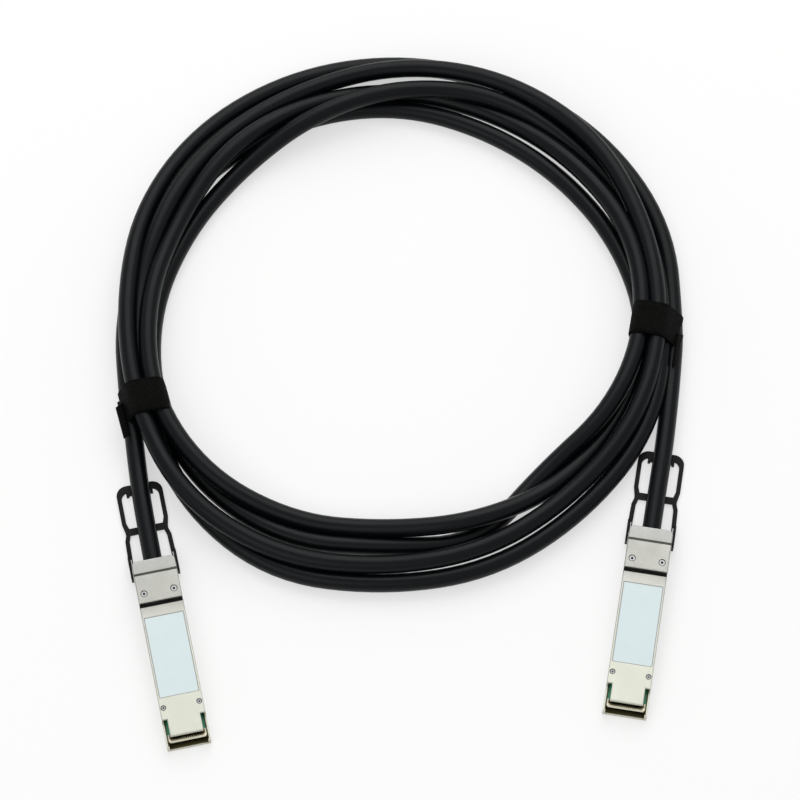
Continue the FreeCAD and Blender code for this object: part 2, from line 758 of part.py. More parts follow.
def cable_tail(side, later_points):
    """The stretch of cable from a plug's ferrule to the coil."""
    level = size("cable_height")
    plug_length = size("nose_length") + size("hood_length")
    points = [plug_point(side, plug_length - size("jacket_entry"), level)]
    points.append(plug_point(side, plug_length + size("tail_straight"), level))
    points += [FreeCAD.Vector(*point) for point in later_points]
    route, radii = rounded_route(points)
    section = Part.Circle(points[0], points[1] - points[0], size("cable_diameter") / 2)
    tube = route.makePipeShell([Part.Wire(section.toShape())], True, False)
    expected = math.pi * size("cable_diameter") ** 2 / 4 * route.Length
    print(side, "tail: length", round(route.Length, 1), "radii", [round(radius) for radius in radii])
    print(side, "tail: volume over section times length", round(tube.Volume / expected, 4))
    tail = doc.addObject("Part::Feature", side + "Tail")
    tail.Shape = tube
    finish(tail, side + "_cable_tail")


def oval_disc(name, side_trim, front_trim):
    """A flat oval of the coil's height, this much inside the coil's outline at its sides and front."""
    oval = doc.addObject("Part::Ellipse", name + "Oval")
    half_width = f"(coil_width / 2 - {side_trim} * bundle_side)"
    half_depth = f"(coil_depth / 2 - {front_trim} * bundle_front)"
    wide = size("coil_width") / 2 - side_trim * size("bundle_side")
    deep = size("coil_depth") / 2 - front_trim * size("bundle_front")
    major, minor = (half_width, half_depth) if wide > deep else (half_depth, half_width)
    bind(oval, MajorRadius=major, MinorRadius=minor)
    bind(oval, Placement__Base__x="coil_x", Placement__Base__y="coil_y")
    oval.setExpression("Placement.Rotation.Angle", "0" if wide > deep else "90")
    disc = doc.addObject("Part::Extrusion", name + "Disc")
    disc.Base = oval
    disc.DirMode = "Custom"
    disc.Dir = FreeCAD.Vector(0, 0, 1)
    disc.Solid = True
    bind(disc, LengthFwd="coil_height")
    return disc


def tie_place(side):
    """Middle of the bundle under a tie, with the tie's turn about Z."""
    angle = math.radians(size(side + "_tie_angle"))
    across = (size("coil_width") - size("bundle_side")) / 2 * math.cos(angle)
    along = (size("coil_depth") - size("bundle_front")) / 2 * math.sin(angle)
    base = FreeCAD.Vector(size("coil_x") + across, size("coil_y") + along, 0)
    return FreeCAD.Placement(base, FreeCAD.Rotation(FreeCAD.Vector(0, 0, 1), size(side + "_strap_angle")))


def box_about(name, width, length, low, height):
    """A box centred on the tie's middle line."""
    block = doc.addObject("Part::Box", name)
    bind(block, Length=width, Width=length, Height=height)
    bind(block, Placement__Base__x=f"-({width}) / 2", Placement__Base__y=f"-({length}) / 2")
    bind(block, Placement__Base__z=low)
    return block


def cable_coil():
    outside = oval_disc("Outside", 0, 0)
    inside = oval_disc("Inside", 1, 1)
    ring = doc.addObject("Part::Cut", "Ring")
    ring.Base = outside
    ring.Tool = inside
    doc.recompute()
    bundle = doc.addObject("Part::Fillet", "Bundle")
    bundle.Base = ring
    rounding = size("bundle_round")
    flat = [index for index, edge in enumerate(ring.Shape.Edges, 1) if edge.BoundBox.ZLength < 0.001]
    bundle.Edges = [(index, rounding, rounding) for index in flat]
    doc.recompute()
    waists = []
    for side in SIDES:
        opening = "tie_opening - 2 * tie_gap"
        height = "coil_height - 2 * tie_thickness - 2 * tie_gap"
        outer_height = "coil_height + 2 * tie_gap"
        length = "tie_width + 2 * tie_gap"
        around = box_about(side + "Around", "2 * tie_opening", length, "-tie_gap", outer_height)
        longer = "tie_width + 4 * tie_gap"
        through = box_about(side + "Through", opening, longer, "tie_thickness + tie_gap", height)
        doc.recompute()
        gathered = doc.addObject("Part::Fillet", side + "Gathered")
        gathered.Base = through
        rounding = size("tie_round") - size("tie_thickness") - size("tie_gap")
        edges = through.Shape.Edges
        lengthwise = [index for index, edge in enumerate(edges, 1) if edge.BoundBox.YLength > 0.01]
        gathered.Edges = [(index, rounding, rounding) for index in lengthwise]
        waist = doc.addObject("Part::Cut", side + "Waist")
        waist.Base = around
        waist.Tool = gathered
        waist.Placement = tie_place(side)
        waists.append(waist)
    both_waists = doc.addObject("Part::Compound", "Waists")
    both_waists.Links = waists
    coil = doc.addObject("Part::Cut", "Coil")
    coil.Base = bundle
    coil.Tool = both_waists
    doc.recompute()
    finish(coil, "cable_coil")


def tie(side, flap_end):
    """A strap round the bundle with its loose end lying along the outside."""
    body = doc.addObject("PartDesign::Body", side + "Tie")
    reach = "tie_opening / 2 + tie_thickness"
    band = centred(reach, "0", "coil_height")
    prism(body, "Pad", "Band", "XZ_Plane", "-tie_width / 2", "tie_width", [band])

    opening = centred("tie_opening / 2", "tie_thickness", "coil_height - tie_thickness")
    prism(body, "Pocket", "Opening", "XZ_Plane", "-tie_width / 2", "tie_width", [opening])

    def along_strap(edge, half_width):
        return edge.BoundBox.YLength > 0.01 and lies_at(abs(edge.CenterOfMass.x), half_width)

    half_opening = size("tie_opening") / 2
    half_band = half_opening + size("tie_thickness")
    inner_round = "tie_round - tie_thickness"
    round_edges(body, "OpeningCorners", inner_round, lambda edge: along_strap(edge, half_opening))
    round_edges(body, "BandCorners", "tie_round", lambda edge: along_strap(edge, half_band))
    low = "(coil_height - flap_height) / 2"
    flap = rectangle(reach, f"{reach} + tie_thickness", *flap_end)
    prism(body, "Pad", "Flap", "XY_Plane", low, "flap_height", [flap])
    finish(body, side + "_tie")
    body.Placement = tie_place(side)


# The cable's route from each plug to the coil, after its straight exit
LEFT_ROUTE = [(-111.1, 53.6, 5.5), (-114.1, 76.4, 5.4)]
RIGHT_ROUTE = [(111.9, 67.5, 5.5), (114.9, 90.3, 5.1), (116.2, 102.2, 4.7)]

for side in SIDES:
    lower_shell(side)
    upper_shell(side)
    paddle_card(side)
    contact_pads(side)
    memory_chip(side)
    coupling_capacitors(side)
    shield_gasket(side)
    label_plate(side)
    screw_pair(side, "hood", "hood_height")
    screw_pair(side, "front", "body_height")
    latch_arms(side)
    return_springs(side)
    pull_tab(side)
    crimp_ferrule(side)
    twinax_pairs(side)
cable_tail("left", LEFT_ROUTE)
cable_tail("right", RIGHT_ROUTE)
cable_coil()
tie("left", ("0", "tie_width / 2 + flap_length"))
tie("right", ("-tie_width / 2", "tie_width / 2"))
doc.recompute()

for feature in doc.Objects:
    if "Invalid" in feature.State or "Error" in feature.State:
        raise RuntimeError(f"{feature.Name} failed: {feature.State}")
for feature in parts:
    if feature.Shape.isNull() or not feature.Shape.isValid():
        raise RuntimeError(f"{feature.Label} has no valid shape")

os.makedirs("parts", exist_ok=True)
for feature in parts:
    feature.Shape.exportStep(f"parts/{feature.Label}.step")
print(len(parts), "sub-parts written")
plugs = FreeCAD.BoundBox()
for feature in parts:
    if "cable" not in feature.Label and "tie" not in feature.Label:
        plugs.add(feature.Shape.BoundBox)
print("both plugs:", plugs)
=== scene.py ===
# %% [markdown]
# # A coiled network cable with a plug on each end
# The real object is a thick black cable wound into a flat coil, held by two fabric ties, with a
# die-cast plug on each end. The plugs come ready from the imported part, so this lesson gives them their
# finishes, and models what a rigid solid shows badly: the turns of the cable, the woven ties and the
# springs that close up.

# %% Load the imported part
import math

import bmesh
import bpy
from mathutils import Matrix, Vector


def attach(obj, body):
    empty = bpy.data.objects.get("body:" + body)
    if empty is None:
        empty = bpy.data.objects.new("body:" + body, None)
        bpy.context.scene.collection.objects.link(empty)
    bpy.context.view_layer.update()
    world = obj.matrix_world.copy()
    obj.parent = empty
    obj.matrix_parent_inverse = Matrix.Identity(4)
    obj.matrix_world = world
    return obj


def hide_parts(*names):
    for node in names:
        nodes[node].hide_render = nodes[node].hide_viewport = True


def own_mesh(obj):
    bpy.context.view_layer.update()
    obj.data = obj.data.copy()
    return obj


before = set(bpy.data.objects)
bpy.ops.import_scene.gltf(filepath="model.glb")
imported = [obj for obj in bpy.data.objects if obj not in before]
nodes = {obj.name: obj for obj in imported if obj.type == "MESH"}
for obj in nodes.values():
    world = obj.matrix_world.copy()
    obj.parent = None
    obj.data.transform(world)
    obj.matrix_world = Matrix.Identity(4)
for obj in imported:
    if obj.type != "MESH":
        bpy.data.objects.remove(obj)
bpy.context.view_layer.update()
MM = 0.001

# %% [markdown]
# ## The room
# The photograph was taken on a white table under broad soft light that comes from behind the coil. One
# floor, a large soft lamp at the back, a weak one in front and an even white sky give the same mild
# shadows. The floor glows a little for the camera and for reflections only, so it turns white without
# more light falling on the object.

# %% Floor
FLOOR_REACH = 6.0
floor_mesh = bpy.data.meshes.new("floor")
grid = bmesh.new()
bmesh.ops.create_grid(grid, x_segments=1, y_segments=1, size=FLOOR_REACH)
grid.to_mesh(floor_mesh)
grid.free()
floor = bpy.data.objects.new("floor", floor_mesh)
bpy.context.scene.collection.objects.link(floor)
print("floor:", len(floor_mesh.polygons), "face")


# %% [markdown]
# Every finish below starts from Blender's Principled shader. A few small helpers keep the cells short:
# they make the material, add a node and set it up in one line, and set plain values on the shader.

# %% Helpers for materials
def new_finish(name):
    material = bpy.data.materials.new(name)
    material.use_nodes = True
    return material, material.node_tree, material.node_tree.nodes["Principled BSDF"]


def add_node(tree, kind, values=None, **settings):
    node = tree.nodes.new(kind)
    for setting, value in settings.items():
        setattr(node, setting, value)
    for socket, value in (values or {}).items():
        node.inputs[socket].default_value = value
    return node


def set_shader(shader, **values):
    for socket, value in values.items():
        shader.inputs[socket.replace("_", " ")].default_value = value


# %% Floor finish
FLOOR_GLOW = 0.55
TABLE_WHITE = (0.95, 0.95, 0.945, 1)
PURE_WHITE = (1, 1, 1, 1)
paper, paper_tree, paper_shader = new_finish("white_table")
set_shader(paper_shader, Base_Color=TABLE_WHITE, Roughness=0.9, Specular_IOR_Level=0.1)
glow = add_node(paper_tree, "ShaderNodeEmission", {"Color": PURE_WHITE, "Strength": 1.0})
ray = add_node(paper_tree, "ShaderNodeLightPath")
seen = add_node(paper_tree, "ShaderNodeMath", operation="MAXIMUM")
share = add_node(paper_tree, "ShaderNodeMath", {1: FLOOR_GLOW}, operation="MULTIPLY")
blend = add_node(paper_tree, "ShaderNodeMixShader")
paper_tree.links.new(ray.outputs["Is Camera Ray"], seen.inputs[0])
paper_tree.links.new(ray.outputs["Is Glossy Ray"], seen.inputs[1])
paper_tree.links.new(seen.outputs[0], share.inputs[0])
paper_tree.links.new(share.outputs[0], blend.inputs[0])
paper_tree.links.new(paper_shader.outputs[0], blend.inputs[1])
paper_tree.links.new(glow.outputs[0], blend.inputs[2])
paper_tree.links.new(blend.outputs[0], paper_tree.nodes["Material Output"].inputs["Surface"])
floor.data.materials.append(paper)
print("floor finish:", paper.name)

# %% Sky
SKY_LIGHT = 0.62
SKY_SEEN = 1.0
world = bpy.data.worlds.new("sky")
bpy.context.scene.world = world
world.use_nodes = True
sky_tree = world.node_tree
sky = sky_tree.nodes["Background"]
sky.inputs["Color"].default_value = PURE_WHITE
sky_ray = add_node(sky_tree, "ShaderNodeLightPath")
sky_seen = add_node(sky_tree, "ShaderNodeMath", operation="MAXIMUM")
sky_level = add_node(sky_tree, "ShaderNodeMapRange", {"To Min": SKY_LIGHT, "To Max": SKY_SEEN})
sky_tree.links.new(sky_ray.outputs["Is Camera Ray"], sky_seen.inputs[0])
sky_tree.links.new(sky_ray.outputs["Is Transmission Ray"], sky_seen.inputs[1])
sky_tree.links.new(sky_seen.outputs[0], sky_level.inputs["Value"])
sky_tree.links.new(sky_level.outputs[0], sky.inputs["Strength"])
print("sky:", world.name)


# %% Lamps
def add_lamp(name, place, aim, size, power):
    lamp = bpy.data.lights.new(name, "AREA")
    lamp.size = size
    lamp.energy = power
    holder = bpy.data.objects.new(name, lamp)
    holder.location = place
    holder.rotation_euler = (Vector(aim) - Vector(place)).to_track_quat("-Z", "Y").to_euler()
    bpy.context.scene.collection.objects.link(holder)


COIL_MIDDLE = (-0.004, 0.127, 0.0)
BETWEEN_PLUGS = (0, 0, 0)
add_lamp("window", place=(0.1, 1.5, 1.5), aim=COIL_MIDDLE, size=2.0, power=24)
add_lamp("front_panel", place=(-0.7, -0.9, 1.3), aim=BETWEEN_PLUGS, size=1.0, power=4)

# %% [markdown]
# ## The camera
# The picture looks down on the table from the plugs' side, from far away through a long lens: the
# plugs' sides hardly converge. The angle, distance and lens were fitted to the corners of the two
# plugs.

# %% Camera
CAMERA_AIM = Vector((-0.00037, 0.09077, 0.0))
CAMERA_RISE = math.radians(67)
CAMERA_DISTANCE = 1.5
CAMERA_LENS = 157.5
CAMERA_SENSOR = 36
lens = bpy.data.cameras.new("camera")
lens.lens = CAMERA_LENS
lens.sensor_width = CAMERA_SENSOR
camera = bpy.data.objects.new("camera", lens)
towards_camera = Vector((0, -math.cos(CAMERA_RISE), math.sin(CAMERA_RISE)))
camera.location = CAMERA_AIM + CAMERA_DISTANCE * towards_camera
camera.rotation_euler = (math.radians(90) - CAMERA_RISE, 0, 0)
bpy.context.scene.collection.objects.link(camera)
bpy.context.scene.camera = camera
bpy.context.scene.view_settings.view_transform = "Standard"
print("camera at", [round(v, 3) for v in camera.location])

# %% [markdown]
# ## The cable
# The cable leaves the left plug, runs to the left tie, goes round four and a half times and leaves
# through the right tie to the other plug. A coil like this is one length of cable, so it is one curve.
# Between the ties the turns fan out and pass over and under each other, so each pass gets a short list:
# how far it lies inside the coil's outline and how high, at evenly spaced stations. The lists were
# chosen to match the strands and the coil's edges in the picture, and a loop turns them into the
# curve's points. Under a tie, two strands lie low, two high and one between them. At the front the
# strands lie side by side, where a millimetre more opens a gap, so those lists are the places that the
# cable itself goes through. At the back they are the curve's points. All of them are in millimetres,
# and MM turns them into metres.

# %% The passes of the coil
COIL_CENTRE = (-3.64, 127.27)
COIL_HALF_WIDTH = 123.5
COIL_HALF_DEPTH = 127.2
LEFT_TIE_ANGLE = 200.9
RIGHT_TIE_ANGLE = -2.9
FLOOR_LEVEL = 4.0
LOW = 5.2
HIGH = 13.2
over_the_back = {
    "first": [(5.6, LOW), (8.6, FLOOR_LEVEL), (13.6, FLOOR_LEVEL), (20.2, FLOOR_LEVEL),
              (23.8, FLOOR_LEVEL), (25.8, FLOOR_LEVEL), (28.0, FLOOR_LEVEL), (26.0, FLOOR_LEVEL),
              (20.6, FLOOR_LEVEL), (14.6, LOW)],
    "second": [(15.8, HIGH), (19.2, HIGH), (22.4, 9.4), (20.4, 12.8), (18.4, 6.8),
               (17.6, FLOOR_LEVEL), (18.8, FLOOR_LEVEL), (18.4, 9.2), (14.8, 12.0), (16.2, HIGH)],
    "third": [(16.4, LOW), (21.0, FLOOR_LEVEL), (26.8, FLOOR_LEVEL), (28.9, 4.2), (27.2, 12.8),
              (20.2, 12.4), (12.8, 9.9), (10.6, 5.0), (6.8, 6.2), (7.8, 8.4)],
    "fourth": [(12.0, 8.6), (14.8, 7.8), (14.6, 13.0), (12.6, 8.0), (11.2, 6.6),
               (8.4, 10.9), (5.6, 11.9), (4.8, 12.2), (8.6, 12.6), (9.6, HIGH)],
    "fifth": [(8.6, HIGH), (10.2, 13.0), (6.0, 9.6), (3.1, 4.2), (3.6, FLOOR_LEVEL),
              (3.95, FLOOR_LEVEL), (3.1, FLOOR_LEVEL), (0.6, FLOOR_LEVEL), (-0.9, FLOOR_LEVEL),
              (4.0, LOW)],
}
round_the_front = {
    "first": [(14.6, LOW), (17.8, 4.3), (21.5, 6.6), (25.2, 11.5),
              (28.9, 7.2), (24.9, 6.1), (18.4, 11.4), (15.8, HIGH)],
    "second": [(16.2, HIGH), (22.1, 12.0), (28.5, 5.4), (20.9, FLOOR_LEVEL),
               (22.1, FLOOR_LEVEL), (17.5, FLOOR_LEVEL), (15.5, 4.2), (16.4, LOW)],
    "third": [(7.8, 8.4), (5.0, 8.0), (6.1, 6.4), (5.6, 5.5),
              (5.5, 4.5), (2.5, FLOOR_LEVEL), (5.5, 4.4), (12.0, 8.6)],
    "fourth": [(9.6, HIGH), (10.9, 12.4), (13.6, 9.5), (13.1, 9.4),
               (12.1, 9.0), (7.6, 9.5), (5.2, 12.2), (8.6, HIGH)],
}
print("passes:", len(over_the_back), "over the back,", len(round_the_front), "round the front")

# %% [markdown]
# A smooth spline cuts inside its control points, by about two percent of the radius at this spacing, so
# the points stand that much further out. It also evens out what differs from one station to the next:
# beside a point it lies at three quarters of that point's value and an eighth of each neighbour's. For
# the front, repeated correction finds the points that lead it through the places wanted, to a tenth of
# a millimetre, and their heights stay between the floor's and the top's. The tails' own points are the
# ones that the solids of the part follow.

# %% Points of the whole cable
SPLINE_SWELL = 1.019
OWN_SHARE = 3 / 4
NEIGHBOUR_SHARE = 1 / 8
CORRECTION_ROUNDS = 20
STATION_DIGITS = 1
LEFT_TAIL = [(-102.85, 10.8, 5.5), (-107.4, 32.3, 5.5), (-111.1, 53.6, 5.5), (-114.1, 76.4, 5.4)]
RIGHT_TAIL = [(116.2, 102.2, 4.7), (114.9, 90.3, 5.1), (111.9, 67.5, 5.5), (108.1, 46.2, 5.5),
              (104.5, 24.5, 5.5)]


def coil_point(angle, inset, level, swell=SPLINE_SWELL):
    turn = math.radians(angle)
    x = COIL_CENTRE[0] + (COIL_HALF_WIDTH - inset) * swell * math.cos(turn)
    y = COIL_CENTRE[1] + (COIL_HALF_DEPTH - inset) * swell * math.sin(turn)
    return (x, y, level)


def leading_values(wanted):
    """Rounded values for the spline's points that lead it through the wanted ones, ends kept."""
    values = list(wanted)
    for _ in range(CORRECTION_ROUNDS):
        for k in range(1, len(wanted) - 1):
            beside = NEIGHBOUR_SHARE * (values[k - 1] + values[k + 1])
            values[k] = (wanted[k] - beside) / OWN_SHARE
    return [round(value, STATION_DIGITS) for value in values]


def leading_stations(places):
    insets = leading_values([inset for inset, level in places])
    levels = leading_values([level for inset, level in places])
    return [(inset, min(HIGH, max(FLOOR_LEVEL, level))) for inset, level in zip(insets, levels)]


def pass_points(stations, start, sweep):
    step = sweep / (len(stations) - 1)
    return [coil_point(start + step * k, inset, level) for k, (inset, level) in enumerate(stations)]


BACK_SWEEP = RIGHT_TIE_ANGLE - LEFT_TIE_ANGLE
FRONT_SWEEP = -360 - BACK_SWEEP
cable_points = list(LEFT_TAIL)
for turn in over_the_back:
    cable_points += pass_points(over_the_back[turn], LEFT_TIE_ANGLE, BACK_SWEEP)
    if turn in round_the_front:
        front_stations = leading_stations(round_the_front[turn])
        cable_points += pass_points(front_stations, RIGHT_TIE_ANGLE, FRONT_SWEEP)[1:-1]
cable_points += RIGHT_TAIL
print("cable:", len(cable_points), "points")

# %% [markdown]
# Each point carries the cable's radius, and the round section is one metre deep at a radius of one, so
# the product is right. A curve's box reaches as far past its points as their radius, so this keeps the
# box true as well.

# %% One spline for the cable
CABLE_DIAMETER = 0.0079
SECTION_STEPS = 6
SPLINE_STEPS = 8
curve = bpy.data.curves.new("cable", "CURVE")
curve.dimensions = "3D"
curve.bevel_depth = 1.0
curve.bevel_resolution = SECTION_STEPS
curve.resolution_u = SPLINE_STEPS
spline = curve.splines.new("NURBS")
spline.points.add(len(cable_points) - 1)
for place, (x, y, z) in zip(spline.points, cable_points):
    place.co = (x * MM, y * MM, z * MM, 1)
    place.radius = CABLE_DIAMETER / 2
spline.order_u = 3
spline.use_endpoint_u = True
cable = bpy.data.objects.new("cable", curve)
bpy.context.scene.collection.objects.link(cable)
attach(cable, "cable_and_plugs")
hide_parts("cable_coil", "left_cable_tail", "right_cable_tail")
print("cable spline:", round(spline.calc_length(), 3), "m")

# %% [markdown]
# ## The ties
# Each tie is a woven hook-and-loop strap that goes once round the strands, and its loose end lies over
# the start on the outside. A strap is cut flat and then bent, so it is modelled the same way: a flat
# strip is grown row by row, its weave map is written while it is flat, and it is then folded row by row
# from the far end. The strands inside give the corners that it is bent round.

# %% Sizes of a strap
STRAP_WIDTH = 15.0
STRAP_THICKNESS = 1.1
STRAP_COLUMNS = 4
STRAP_ROWS_PER_TURN = 24
LEANING_ROWS = 12
STRAP_REACH = CABLE_DIAMETER / MM / 2 + STRAP_THICKNESS / 2
TUCK = 55
TIE_INSET = 11.0
print("strap:", STRAP_WIDTH, "x", STRAP_THICKNESS, "mm")


# %% The flat lengths and bends of a strap
def strap_path(corners, loose_end, loose_lift):
    """Lengths along the strap with the angle that each turns through, from the tucked start on."""
    sides = [corners[(k + 1) % 4] - corners[k] for k in range(4)]
    headings = [math.degrees(math.atan2(side.y, side.x)) for side in sides]
    turns = [(headings[k] - headings[k - 1]) % 360 for k in range(4)]
    bends = [(math.radians(turn) * STRAP_REACH, turn) for turn in turns]
    runs = [(side.length, 0) for side in sides]
    path = [(math.radians(TUCK) * STRAP_REACH, TUCK)]
    for k in range(1, 4):
        path += [runs[k - 1], bends[k]]
    path += [(runs[3][0] + STRAP_THICKNESS, 0), bends[0], (loose_end, loose_lift)]
    return path, headings[0] - TUCK


def tie_corners(strands, middle):
    """Outer low, outer high, inner high and inner low strand under a tie, seen along the cable."""
    return [Vector((middle - inset, level)) for inset, level in strands]


left_strands = [over_the_back[turn][0] for turn in ("first", "fifth", "second", "third")]
right_strands = [over_the_back[turn][-1] for turn in ("fifth", "fourth", "second", "first")]
left_corners = tie_corners(left_strands, TIE_INSET)
right_corners = tie_corners(right_strands, TIE_INSET)
left_path, left_start = strap_path(left_corners, loose_end=6.5, loose_lift=-80)
right_path, right_start = strap_path(right_corners, loose_end=3.0, loose_lift=-20)
for path in (left_path, right_path):
    print("strap length:", round(sum(length for length, bend in path)), "mm")


# %% Grow the flat strip
def grow_row(strip, edges, step):
    """One more row of faces from the last edges, and the new points and edges."""
    grown = bmesh.ops.extrude_edge_only(strip, edges=edges)["geom"]
    row = [item for item in grown if isinstance(item, bmesh.types.BMVert)]
    lines = [item for item in grown if isinstance(item, bmesh.types.BMEdge)]
    new_edges = [line for line in lines if set(line.verts) <= set(row)]
    bmesh.ops.translate(strip, verts=row, vec=step)
    return row, new_edges


def grow_strip(path, lean):
    """A flat strip along X, one row of points for each bend, and the angle of the bend at each row."""
    strip = bmesh.new()
    shares = [k / STRAP_COLUMNS - 0.5 for k in range(STRAP_COLUMNS + 1)]
    across = [strip.verts.new((0, share * STRAP_WIDTH, 0)) for share in shares]
    edges = [strip.edges.new(pair) for pair in zip(across, across[1:])]
    rows = [across]
    bends = [0.0]
    for length, turn in path:
        steps = max(1, round(abs(turn) / 360 * STRAP_ROWS_PER_TURN))
        for _ in range(steps):
            bends[-1] += turn / steps / 2
            row, edges = grow_row(strip, edges, (length / steps, 0, 0))
            rows.append(row)
            bends.append(turn / steps / 2)
    weave_map = strip.loops.layers.uv.new("weave")
    for face in strip.faces:
        face.smooth = True
        for corner in face.loops:
            corner[weave_map].uv = corner.vert.co.xy
    lean_start = rows[-LEANING_ROWS][0].co.x
    lean_length = rows[-1][0].co.x - lean_start
    for row in rows[-LEANING_ROWS:]:
        share = (row[0].co.x - lean_start) / lean_length
        bmesh.ops.translate(strip, verts=row, vec=(0, lean * share, 0))
    return strip, rows, bends


# %% Fold it round the strands
def fold_strap(name, path, start, corner, tie_angle, turn, slant, lean):
    strip, rows, bends = grow_strip(path, lean)
    for k in reversed(range(len(rows) - 1)):
        beyond = [vert for row in rows[k + 1:] for vert in row]
        hinge = Vector((rows[k][0].co.x, 0, 0))
        bend = Matrix.Rotation(-math.radians(bends[k]), 3, "Y")
        bmesh.ops.rotate(strip, verts=beyond, cent=hinge, matrix=bend)
    angle = math.radians(start - 90)
    begin_across = corner.x + STRAP_REACH * math.cos(angle)
    begin_level = corner.y + STRAP_REACH * math.sin(angle)
    begin = Vector((begin_across, 0, begin_level))
    lean_over = Matrix.Identity(4)
    lean_over[1][0] = math.tan(math.radians(slant))
    place = Matrix.Translation(coil_point(tie_angle, TIE_INSET, 0, swell=1))
    place = place @ Matrix.Rotation(math.radians(turn), 4, "Z") @ lean_over
    place = place @ Matrix.Translation(begin) @ Matrix.Rotation(-math.radians(start), 4, "Y")
    bmesh.ops.transform(strip, matrix=Matrix.Scale(MM, 4) @ place, verts=strip.verts)
    mesh = bpy.data.meshes.new(name)
    strip.to_mesh(mesh)
    strip.free()
    strap = bpy.data.objects.new(name, mesh)
    bpy.context.scene.collection.objects.link(strap)
    return strap


left_strap = fold_strap("left_strap", left_path, left_start, left_corners[0], LEFT_TIE_ANGLE,
                        turn=195.5, slant=-5.5, lean=9.0)
right_strap = fold_strap("right_strap", right_path, right_start, right_corners[0], RIGHT_TIE_ANGLE,
                         turn=-10.0, slant=0.5, lean=-10.0)
for strap in (left_strap, right_strap):
    print(strap.name, "has", len(strap.data.polygons), "faces before its thickness")

# %% Give the straps their thickness
RIM_WIDTH = 0.25
RIM_STEPS = 2
RIM_ANGLE = 50
for strap, node in ((left_strap, "left_tie"), (right_strap, "right_tie")):
    wall = strap.modifiers.new("thickness", "SOLIDIFY")
    wall.thickness = STRAP_THICKNESS * MM
    wall.offset = 0
    rim = strap.modifiers.new("soft_rim", "BEVEL")
    rim.width = RIM_WIDTH * MM
    rim.segments = RIM_STEPS
    rim.limit_method = "ANGLE"
    rim.angle_limit = math.radians(RIM_ANGLE)
    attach(strap, "cable_and_plugs")
    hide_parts(node)
print("straps stand for:", "left_tie, right_tie")

# %% [markdown]
# ## The return springs
# Behind a tang of each latch arm sits a flat zigzag spring, which closes up when the tab is pulled. A
# rigid solid would be cut by the tang, so each pair is folded here again: a narrow strip is grown fold
# by fold, given its thickness and mirrored to the plug's other side.

# %% Places of the plugs and sizes of a spring
PLUGS = {
    "left": ((-86.817 * MM, -64.593 * MM, 0), math.radians(12.0)),
    "right": ((92.055 * MM, -51.608 * MM, 0), math.radians(-9.3)),
}
SPRING_SIDES = (7.705, 8.625)
SPRING_START = 44.46
SPRING_END = 51.62
SPRING_LEVEL = 1.98
SPRING_RISE = 1.04
SPRING_STRIP = 0.3
SPRING_FOLDS = 8


# %% Fold the springs
def fold_springs(name, place, turn):
    zigzag = bmesh.new()
    corners = [zigzag.verts.new((across, SPRING_START, SPRING_LEVEL)) for across in SPRING_SIDES]
    edges = [zigzag.edges.new(corners)]
    run = (SPRING_END - SPRING_START) / SPRING_FOLDS
    for fold in range(SPRING_FOLDS):
        edges = grow_row(zigzag, edges, (0, run, -SPRING_RISE if fold % 2 else SPRING_RISE))[1]
    raised = bmesh.ops.extrude_face_region(zigzag, geom=zigzag.faces[:])["geom"]
    top = [item for item in raised if isinstance(item, bmesh.types.BMVert)]
    bmesh.ops.translate(zigzag, verts=top, vec=(0, 0, SPRING_STRIP))
    one_hand = zigzag.verts[:] + zigzag.edges[:] + zigzag.faces[:]
    bmesh.ops.mirror(zigzag, geom=one_hand, matrix=Matrix.Identity(4), merge_dist=0, axis="X")
    bmesh.ops.recalc_face_normals(zigzag, faces=zigzag.faces)
    on_plug = Matrix.Translation(place) @ Matrix.Rotation(turn, 4, "Z") @ Matrix.Scale(MM, 4)
    bmesh.ops.transform(zigzag, matrix=on_plug, verts=zigzag.verts)
    open_edges = [edge for edge in zigzag.edges if len(edge.link_faces) != 2]
    print(name, "faces:", len(zigzag.faces), "open edges:", len(open_edges))
    mesh = bpy.data.meshes.new(name)
    zigzag.to_mesh(mesh)
    zigzag.free()
    springs = bpy.data.objects.new(name, mesh)
    bpy.context.scene.collection.objects.link(springs)
    return springs


spring_pairs = {}
for side, (place, turn) in PLUGS.items():
    pair = fold_springs(side + "_spring_pair", place, turn)
    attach(pair, "cable_and_plugs")
    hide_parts(side + "_return_springs")
    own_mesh(pair)
    spring_pairs[side] = pair
print("springs folded:", list(spring_pairs))

# %% [markdown]
# ## Effects that several finishes share
# Real surfaces differ from point to point: cast metal and moulded plastic have a fine grain, handling
# leaves duller and glossier patches, and no edge is perfectly sharp. Each of these is a small node
# group with named sockets, built once and placed in many materials with other values.

# %% A helper for node groups
def new_group(name, inputs, outputs):
    group = bpy.data.node_groups.new(name, "ShaderNodeTree")
    for title, kind in inputs:
        group.interface.new_socket(title, in_out="INPUT", socket_type="NodeSocket" + kind)
    for title, kind in outputs:
        group.interface.new_socket(title, in_out="OUTPUT", socket_type="NodeSocket" + kind)
    return group, group.nodes.new("NodeGroupInput"), group.nodes.new("NodeGroupOutput")


print("node groups so far:", len(bpy.data.node_groups))

